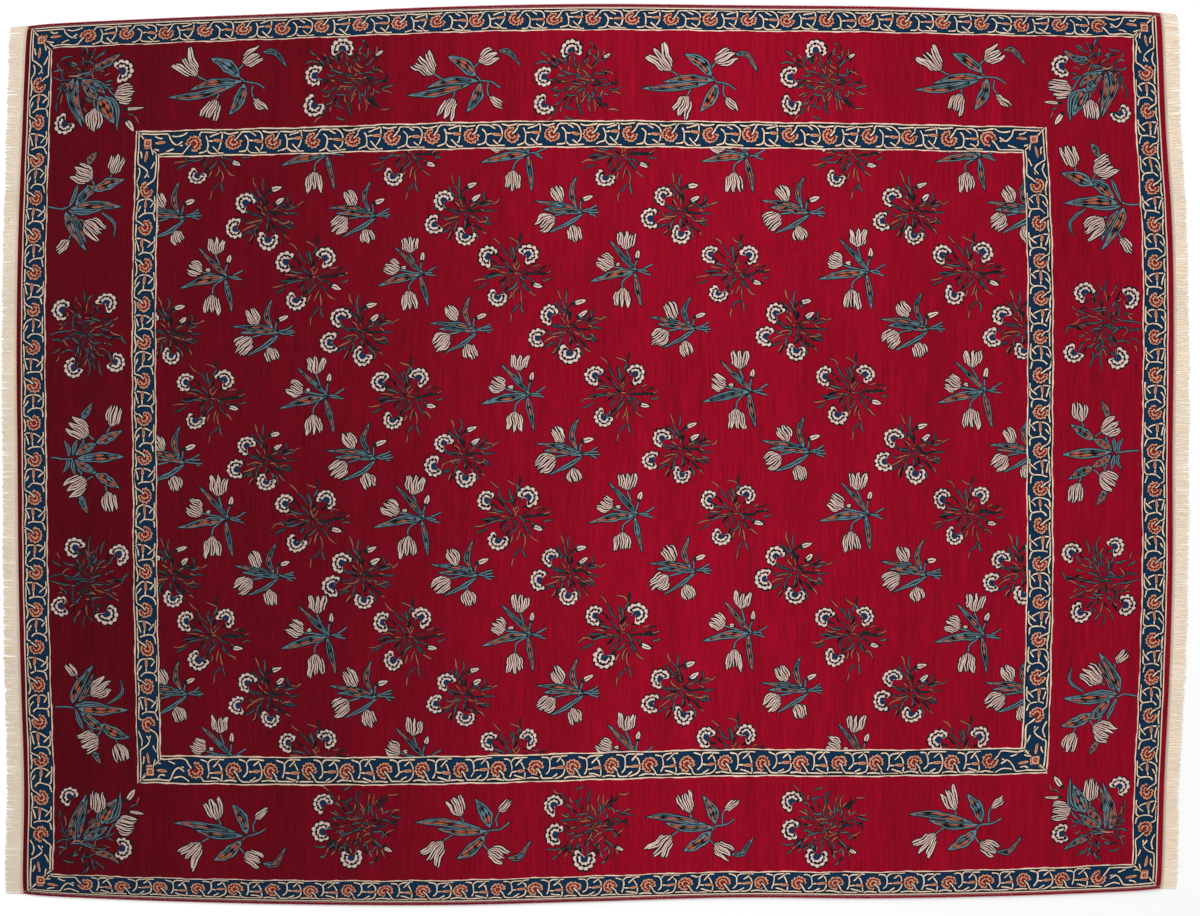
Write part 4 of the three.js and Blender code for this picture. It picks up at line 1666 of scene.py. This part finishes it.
def yarn_finish(name, colour, light_range, twist_scale):
    """Yarn of a colour, with painted shade that makes it darker at the carpet's left end than at
    its right.
    """
    material, shader, places = new_finish(name, YARN_SHEEN)
    tree = material.node_tree
    shade_of_end = places.node("ShaderNodeSeparateXYZ", {0: places}) / (CHART_LENGTH * MM) + 0.5
    fibre = places.noise(places.scaled(twist_scale), 1.0, 3.0)
    patches = places.noise(places, PATCH_SCALE, 3.0)
    low, high = light_range
    twist = (1 - FIBRE_SHADE / 2) + fibre * FIBRE_SHADE
    soil = (1 - PATCH_SHADE / 2) + patches * PATCH_SHADE
    light = (shade_of_end * (high - low) + low) * twist * soil
    base = tree.nodes.new("ShaderNodeRGB")
    base.outputs[0].default_value = (*[linear(channel) for channel in colour], 1)
    bump = fibre.node("ShaderNodeBump", {"Height": fibre, **YARN_BUMP})
    finish_with(shader, {"Base Color": Value(tree, base.outputs[0]).shaded(light), "Normal": bump,
                         "Roughness": 0.84 + fibre * 0.12})
    return material


# painted light and shade: each range darkens its yarn towards the left end; the selvedge wool is
# painted brighter than the ground's dye and the warp cotton brighter than plain cotton, against the
# shade of their round strands
selvedge_wool = yarn_finish("selvedge_wool", (172, 6, 40), (0.6, 1.0), (900, 260, 500))
warp_cotton = yarn_finish("warp_cotton", (249, 232, 209), (0.88, 1.10), (120, 1500, 900))
# painted shade: the web is the same cotton as the fringe, painted darker so that its flat top
# matches the shaded strands
shaded_web_cotton = yarn_finish("shaded_web_cotton", (214, 196, 174), (0.82, 1.04), (260, 900, 500))
print("three yarns")

# %% [markdown]
# ## Geometry Nodes trees
# The wraps of the selvedge and the strands of the fringe repeat a thousand times along a
# path, which is what Geometry Nodes are for. A small helper builds a tree with named
# inputs, and another one applies it: inputs are set by their identifiers, the result is
# copied as a plain mesh, and the modifier goes.

# %% Building and applying a tree
class Tree:
    """A Geometry Nodes tree with named inputs."""

    def __init__(self, name, inputs):
        self.group = bpy.data.node_groups.new(name, "GeometryNodeTree")
        face = self.group.interface
        face.new_socket("Geometry", in_out="INPUT", socket_type="NodeSocketGeometry")
        self.names = {}
        for label, (kind, value) in inputs.items():
            socket = face.new_socket(label, in_out="INPUT", socket_type=kind)
            if value is not None:
                socket.default_value = value
            self.names[label] = socket.identifier
        face.new_socket("Geometry", in_out="OUTPUT", socket_type="NodeSocketGeometry")
        self.entry = self.group.nodes.new("NodeGroupInput")

    def given(self, label):
        return self.entry.outputs[label]

    def node(self, kind, inputs=(), output=0, **settings):
        made = self.group.nodes.new(kind)
        for name, value in settings.items():
            setattr(made, name, value)
        for name, value in dict(inputs).items():
            if isinstance(value, bpy.types.NodeSocket):
                self.group.links.new(value, made.inputs[name])
            else:
                made.inputs[name].default_value = value
        return made.outputs[output]

    def maths(self, operation, first, second):
        return self.node("ShaderNodeMath", {0: first, 1: second}, operation=operation)

    def finish(self, geometry, material_input):
        real = self.node("GeometryNodeRealizeInstances", {0: geometry})
        coloured = self.node("GeometryNodeSetMaterial", {0: real, "Material": material_input})
        leave = self.group.nodes.new("NodeGroupOutput")
        self.group.links.new(coloured, leave.inputs[0])


def grown(name, path, tree, values, material):
    """The mesh that a tree grows on a path, as a plain object of its own."""
    modifier = path.modifiers.new("grow", "NODES")
    modifier.node_group = tree.group
    for label, value in values.items():
        modifier[tree.names[label]] = value
    modifier[tree.names["Finish"]] = material
    bpy.context.view_layer.update()
    graph = bpy.context.evaluated_depsgraph_get()
    mesh = bpy.data.meshes.new_from_object(path.evaluated_get(graph))
    path.modifiers.remove(modifier)
    mesh.name = name
    piece = placed(name, mesh)
    base = path.data
    bpy.data.objects.remove(path)
    bpy.data.meshes.remove(base)
    print(name, sum(len(face.vertices) - 2 for face in mesh.polygons), "triangles")
    return piece


def path_mesh(name, points, values=None, edges=True):
    """A path of points in metres, with named numbers stored on them."""
    mesh = bpy.data.meshes.new(name)
    links = [(k, k + 1) for k in range(len(points) - 1)] if edges else []
    mesh.from_pydata(points.tolist(), links, [])
    for label, numbers in (values or {}).items():
        layer = mesh.attributes.new(label, "FLOAT", "POINT")
        layer.data.foreach_set("value", np.asarray(numbers, np.float32))
    return placed(name, mesh)


print("tree helpers ready")

# %% [markdown]
# ## The selvedges
# Along each long side the last few warps are bundled and overcast with many turns of red
# wool. Slanting rings of yarn stand side by side along the edge, so close that they touch.
# One ring has few faces, because there are about a thousand of them on each side.

# %% Tree of the wraps
SELVEDGE_HEIGHT = 9
WRAP_PITCH = 4.0
WRAP_YARN = 2.2  # radius of the wrapping yarn as it lies flattened
selvedge_tree = Tree("overcast_edge", {
    "Pitch": ("NodeSocketFloat", 0.0034), "Core": ("NodeSocketFloat", 0.004),
    "Yarn": ("NodeSocketFloat", 0.0018), "Slant": ("NodeSocketFloat", 0.35),
    "Squeeze": ("NodeSocketFloat", 0.7), "Seed": ("NodeSocketInt", 1),
    "Finish": ("NodeSocketMaterial", None),
})
SLANT_RANGE = (0.75, 1.25)  # shares of the slant that a wrap may have
WRAP_SIZE_RANGE = (0.94, 1.0)
QUARTER_TURN = 1.5708


def build_selvedge_tree(tree):
    line = tree.node("GeometryNodeMeshToCurve", {0: tree.given("Geometry")})
    around = tree.node("GeometryNodeCurvePrimitiveCircle",
                       {"Resolution": 8, "Radius": tree.given("Core")})
    stations = tree.node("GeometryNodeResampleCurve", {0: line, "Length": tree.given("Pitch")},
                         mode="LENGTH")
    squeeze = tree.node("ShaderNodeCombineXYZ", {0: 1.0, 1: tree.given("Squeeze"), 2: 1.0})
    ring_line = tree.node("GeometryNodeTransform", {0: around, "Scale": squeeze})
    thread = tree.node("GeometryNodeCurvePrimitiveCircle",
                       {"Resolution": 3, "Radius": tree.given("Yarn")})
    ring = tree.node("GeometryNodeCurveToMesh", {0: ring_line, 1: thread})
    points = tree.node("GeometryNodeCurveToPoints", {0: stations}, mode="EVALUATED")
    seed = tree.given("Seed")
    low = tree.maths("MULTIPLY", tree.given("Slant"), SLANT_RANGE[0])
    high = tree.maths("MULTIPLY", tree.given("Slant"), SLANT_RANGE[1])
    lean = tree.node("FunctionNodeRandomValue", {2: low, 3: high, "Seed": seed}, output=1)
    turn = tree.node("ShaderNodeCombineXYZ", {0: QUARTER_TURN, 1: 0.0, 2: QUARTER_TURN})
    slanted = tree.node("ShaderNodeCombineXYZ", {0: 0.0, 1: 0.0, 2: lean})
    upright = tree.node("FunctionNodeEulerToRotation", {0: turn})
    tilt = tree.node("FunctionNodeEulerToRotation", {0: slanted})
    way = tree.node("FunctionNodeRotateRotation", {0: upright, 1: tilt}, rotation_space="GLOBAL")
    index = tree.node("GeometryNodeInputIndex")
    small, large = WRAP_SIZE_RANGE
    size = tree.node("FunctionNodeRandomValue", {2: small, 3: large, "Seed": seed, "ID": index},
                     output=1)
    wraps = tree.node("GeometryNodeInstanceOnPoints",
                      {0: points, "Instance": ring, "Rotation": way, "Scale": size})
    tree.finish(wraps, tree.given("Finish"))


build_selvedge_tree(selvedge_tree)
print("wraps every", WRAP_PITCH, "mm")

# %% Both selvedges
EDGE_STATIONS = 260
EDGE_SPAN = (0.0006, 0.9994)  # where the wraps begin and end, as shares of the length


def selvedge_path(name, is_far):
    share = SELVEDGE_WIDTH / 2 / NOMINAL_WIDTH
    u = np.linspace(*EDGE_SPAN, EDGE_STATIONS)
    v = np.full(EDGE_STATIONS, 1 - share if is_far else share)
    place = lay(u, v) * MM
    return path_mesh(name, np.column_stack([place, np.full(len(u), SELVEDGE_HEIGHT / 2 * MM)]))


core_width, core_height = SELVEDGE_WIDTH / 2 - WRAP_YARN, SELVEDGE_HEIGHT / 2 - WRAP_YARN
wrap_sizes = {
    "Pitch": WRAP_PITCH * MM, "Core": core_width * MM, "Yarn": WRAP_YARN * MM,
    "Squeeze": core_height / core_width, "Seed": 11,
}
selvedges = []
for name, is_far in (("selvedge_near_wraps", False), ("selvedge_far_wraps", True)):
    path = selvedge_path(name + "_path", is_far)
    selvedges.append(grown(name, path, selvedge_tree, wrap_sizes, selvedge_wool))

# %% [markdown]
# ## The flat-woven ends
# Past the last row of knots the warps are bound by a few plain wefts, a narrow ribbed strip
# that keeps the knots from working loose. Its ribs are a height rule on a fine grid.

# %% Woven end strips
WEB_WIDTH = 10
WEB_THICKNESS = 3
WEB_RIBS = 4
WEB_STATIONS = 520
WEB_ACROSS = 9
RIB_HEIGHT = 0.35
WEFT_HEIGHT = 0.3
WEB_SINK = 0.7  # how far the middle of the ribs lies below the full thickness


def make_web(name, is_left):
    sign, edge = (-1, 0) if is_left else (1, 1)
    v = np.linspace(0, 1, WEB_STATIONS)
    out = np.linspace(GAP, GAP + WEB_WIDTH, WEB_ACROSS)
    rows = []
    for number, reach in enumerate(out):
        place = lay(np.full(WEB_STATIONS, edge + sign * reach / NOMINAL_LENGTH), v) * MM
        rib = np.cos(2 * math.pi * WEB_RIBS * number / (WEB_ACROSS - 1))
        over = np.cos(math.pi * np.arange(WEB_STATIONS) + math.pi * (number // 2))
        height = (WEB_THICKNESS - WEB_SINK + RIB_HEIGHT * rib + WEFT_HEIGHT * over) * MM
        rows.append(np.column_stack([place, height]))
    top = np.concatenate(rows)
    low = top.copy()
    low[:, 2] = 0.0
    points = np.concatenate([top, low])
    count, size = len(top), WEB_STATIONS
    k = np.arange(size - 1)
    faces = []
    for row in range(WEB_ACROSS - 1):
        a, b = row * size + k, (row + 1) * size + k
        faces.append(wall_faces(a, b, b + 1, a + 1))
    first, last = k, (WEB_ACROSS - 1) * size + k
    faces.append(wall_faces(first, first + 1, first + 1 + count, first + count))
    faces.append(wall_faces(last, last + count, last + 1 + count, last + 1))
    faces.append(wall_faces(first + count, first + 1 + count, last + 1 + count, last + count))
    for end, flip in ((0, False), (size - 1, True)):
        column = np.arange(WEB_ACROSS) * size + end
        a, b = column[:-1], column[1:]
        cap = wall_faces(a, a + count, b + count, b)
        faces.append(cap[:, ::-1] if flip else cap)
    triangles = np.concatenate(faces)
    if not is_left:
        triangles = triangles[:, ::-1]
    piece = new_mesh(name, points, triangles)
    piece.data.materials.append(shaded_web_cotton)
    print(name, len(triangles), "triangles")
    return piece


webs = [make_web("web_left", True), make_web("web_right", False)]

# %% [markdown]
# ## The fringe
# The warps run on past the web as loose cotton strands, knotted by nothing but their own
# twist. Each strand is a thin flattened tube with its own length, lean and bend. Points on
# the web's edge carry the length, and the tree does the rest.

# %% Tree of the strands
fringe_tree = Tree("warp_strands", {
    "Thickness": ("NodeSocketFloat", 0.0023), "Flatness": ("NodeSocketFloat", 0.6),
    "Lean": ("NodeSocketFloat", 0.06), "Bend": ("NodeSocketFloat", 0.004),
    "Lift": ("NodeSocketFloat", 0.0015), "Seed": ("NodeSocketInt", 1),
    "Finish": ("NodeSocketMaterial", None),
})
BEND_WAVES = (16.0, 130.0, 0.0)  # how fast the sideways bend changes along x, y and z
LIFT_WAVES = (0.0, 420.0, 7.0)


def stored_number(tree, name):
    """A number that each point of the path carries."""
    return tree.node("GeometryNodeInputNamedAttribute", {"Name": name}, data_type="FLOAT")


def build_fringe_tree(tree):
    line = tree.node("GeometryNodeCurvePrimitiveLine", {"Start": (0, 0, 0), "End": (1, 0, 0)})
    steps = tree.node("GeometryNodeResampleCurve", {0: line, "Count": 6}, mode="COUNT")
    along = tree.node("GeometryNodeSplineParameter")
    marked = tree.node("GeometryNodeStoreNamedAttribute",
                       {0: steps, "Name": "along", "Value": along},
                       data_type="FLOAT", domain="POINT")
    thread = tree.node("GeometryNodeCurvePrimitiveCircle", {"Resolution": 3, "Radius": 0.5})
    strand = tree.node("GeometryNodeCurveToMesh", {0: marked, 1: thread, "Fill Caps": True})
    seed = tree.given("Seed")
    index = tree.node("GeometryNodeInputIndex")
    high = tree.given("Lean")
    low = tree.maths("MULTIPLY", high, -1.0)
    swing = tree.node("FunctionNodeRandomValue", {2: low, 3: high, "Seed": seed, "ID": index},
                      output=1)
    lean, facing = stored_number(tree, "lean"), stored_number(tree, "facing")
    turn = tree.maths("ADD", tree.maths("ADD", swing, lean), facing)
    rotation = tree.node("ShaderNodeCombineXYZ", {2: turn})
    length = stored_number(tree, "reach")
    low_side = tree.maths("MULTIPLY", tree.given("Thickness"), tree.given("Flatness"))
    size = tree.node("ShaderNodeCombineXYZ", {0: length, 1: tree.given("Thickness"), 2: low_side})
    strands = tree.node("GeometryNodeInstanceOnPoints",
                        {0: tree.given("Geometry"), "Instance": strand,
                         "Rotation": rotation, "Scale": size})
    real = tree.node("GeometryNodeRealizeInstances", {0: strands})
    share = stored_number(tree, "along")
    place = tree.node("GeometryNodeInputPosition")
    stretched = tree.node("ShaderNodeVectorMath", {0: place, 1: BEND_WAVES}, operation="MULTIPLY")
    waves = tree.node("ShaderNodeTexNoise", {"Vector": stretched, "Scale": 1.0, "Detail": 2.0})
    side = tree.maths("SUBTRACT", waves, 0.5)
    side = tree.maths("MULTIPLY", tree.maths("MULTIPLY", side, tree.given("Bend")), share)
    lifted = tree.node("ShaderNodeVectorMath", {0: place, 1: LIFT_WAVES}, operation="MULTIPLY")
    layers = tree.node("ShaderNodeTexNoise", {"Vector": lifted, "Scale": 1.0, "Detail": 1.0})
    up = tree.maths("MULTIPLY", tree.maths("MULTIPLY", layers, tree.given("Lift")), share)
    shift = tree.node("ShaderNodeCombineXYZ", {1: side, 2: up})
    moved = tree.node("GeometryNodeSetPosition", {0: real, "Offset": shift})
    tree.finish(moved, tree.given("Finish"))


build_fringe_tree(fringe_tree)
print("strand tree ready")

# %% Both fringes
STRANDS_PER_END = 1220
STRAND_THICKNESS = 3.3
STRAND_FLATNESS = 0.6
STRAND_REST = 1.3  # height of a strand's middle over the floor
FRINGE_LENGTH = {
    "left": (62, 64, 60, 58, 56, 55, 56, 58, 63),
    "right": (58, 54, 57, 56, 60, 54, 53, 56, 60),
}
SHORTEST_STRAND = 0.9
LONGEST_STRAND = 1.05
LOCKS_PER_END = 34  # strands that keep together, between the slits of the fringe
SHORTEST_LOCK = 0.93
LOCK_LEAN = 0.03
ROOT_INSET = 4  # how far a strand starts inside the web
FRINGE_SEEDS = {"left": 77, "right": 78}
FRINGE_SPAN = (0.0005, 0.9995)
UNEVEN_ROOTS = 0.22  # of the distance between two strands
SWEEP = (0.05, 23.0)  # lean of long stretches of the fringe, and how fast it changes
STRAND_LEAN = 0.012


def fringe_path(name, end):
    """Roots of the strands along the web's outer edge, with the length of each."""
    sign, edge = (-1, 0) if end == "left" else (1, 1)
    random = np.random.default_rng(FRINGE_SEEDS[end])
    uneven = random.normal(0, UNEVEN_ROOTS, STRANDS_PER_END)
    v = (np.arange(STRANDS_PER_END) + 0.5 + uneven) / STRANDS_PER_END
    v = np.clip(v, *FRINGE_SPAN)
    start = GAP + WEB_WIDTH - ROOT_INSET
    root = lay(np.full(len(v), edge + sign * start / NOMINAL_LENGTH), v) * MM
    lock = np.clip((v * LOCKS_PER_END).astype(int), 0, LOCKS_PER_END - 1)
    share = random.uniform(SHORTEST_STRAND, LONGEST_STRAND, len(v))
    share *= random.uniform(SHORTEST_LOCK, 1, LOCKS_PER_END)[lock]
    reach = share * (table_value(FRINGE_LENGTH[end], v) - start)
    lean = sign * SWEEP[0] * np.sin(SWEEP[1] * v + 1) + random.normal(0, STRAND_LEAN, len(v))
    lean += random.normal(0, LOCK_LEAN, LOCKS_PER_END)[lock]
    facing = np.full(len(v), math.pi if end == "left" else 0.0)
    points = np.column_stack([root, np.full(len(v), STRAND_REST * MM)])
    values = {"reach": reach * MM, "lean": lean, "facing": facing}
    return path_mesh(name, points, values, edges=False)


fringes = []
for end in ("left", "right"):
    name = f"fringe_{end}_strands"
    fringes.append(grown(name, fringe_path(name + "_path", end), fringe_tree, {
        "Thickness": STRAND_THICKNESS * MM, "Flatness": STRAND_FLATNESS, "Seed": 5,
    }, warp_cotton))

# %% [markdown]
# ## Riding and standing in
# Every piece rides on the carpet's one body. The coloured pieces stand for the plain solid
# of the knotted body.

# %% Fit the pieces to the frame
for piece in (foundation, *pile_zones):
    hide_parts("rug_body")
for piece, node in zip(selvedges, ("selvedge_near", "selvedge_far")):
    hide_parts(node)
for web, strands, node in zip(webs, fringes, ("fringe_left", "fringe_right")):
    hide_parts(node)
    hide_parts(node)
others = [*pile_zones, *selvedges, *webs, *fringes]
for piece in (foundation, *others):
    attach(piece, BODY)
print(1 + len(others), "pieces")

# %% [markdown]
# ## Floor and light
# The photograph has an even, almost shadowless light and a white ground. A pale floor, a
# bright plain sky and one large soft lamp give the same.

# %% Floor, sky and lamp
FLOOR_HALF = 30.0
FLOOR_DROP = 0.0005  # keeps the floor clear of the carpet's underside
FLOOR_SHADE = (0.93, 0.93, 0.93, 1)
FLOOR_GLOW = 0.1
SKY_STRENGTH = 0.72
LAMP_SIZE = 5.0
LAMP_WATTS = 420
LAMP_PLACE = (-4.2, 4.6, 6.0)
LAMP_TILT = (-38, -34)  # degrees about x and y
WHITE = (1, 1, 1, 1)

floor_mesh = bpy.data.meshes.new("floor")
floor_corners = [(-1, -1), (1, -1), (1, 1), (-1, 1)]
floor_mesh.from_pydata([(x * FLOOR_HALF, y * FLOOR_HALF, 0) for x, y in floor_corners], [],
                       [(0, 1, 2, 3)])
floor = placed("floor", floor_mesh)
floor.location.z = -FLOOR_DROP
pale, pale_shader, _ = new_finish("pale_floor")
pale_shader.inputs["Base Color"].default_value = FLOOR_SHADE
pale_shader.inputs["Emission Color"].default_value = WHITE
pale_shader.inputs["Emission Strength"].default_value = FLOOR_GLOW
floor_mesh.materials.append(pale)
floor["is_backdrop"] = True

world = bpy.data.worlds.new("even_sky")
bpy.context.scene.world = world
world.use_nodes = True
background = world.node_tree.nodes["Background"]
background.inputs["Color"].default_value = WHITE
background.inputs["Strength"].default_value = SKY_STRENGTH

lamp_data = bpy.data.lights.new("soft_lamp", "AREA")
lamp_data.shape = "RECTANGLE"
lamp_data.size = LAMP_SIZE
lamp_data.size_y = LAMP_SIZE
lamp_data.energy = LAMP_WATTS
lamp = placed("soft_lamp", lamp_data)
lamp.location = LAMP_PLACE
lamp.rotation_euler = (*np.radians(LAMP_TILT), 0)
bpy.context.scene.view_settings.view_transform = "Standard"
print("floor, sky and lamp")

# %% Sizes, and the end
low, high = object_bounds()
print("visual box in millimetres:", [round(1000 * side) for side in (high - low)])
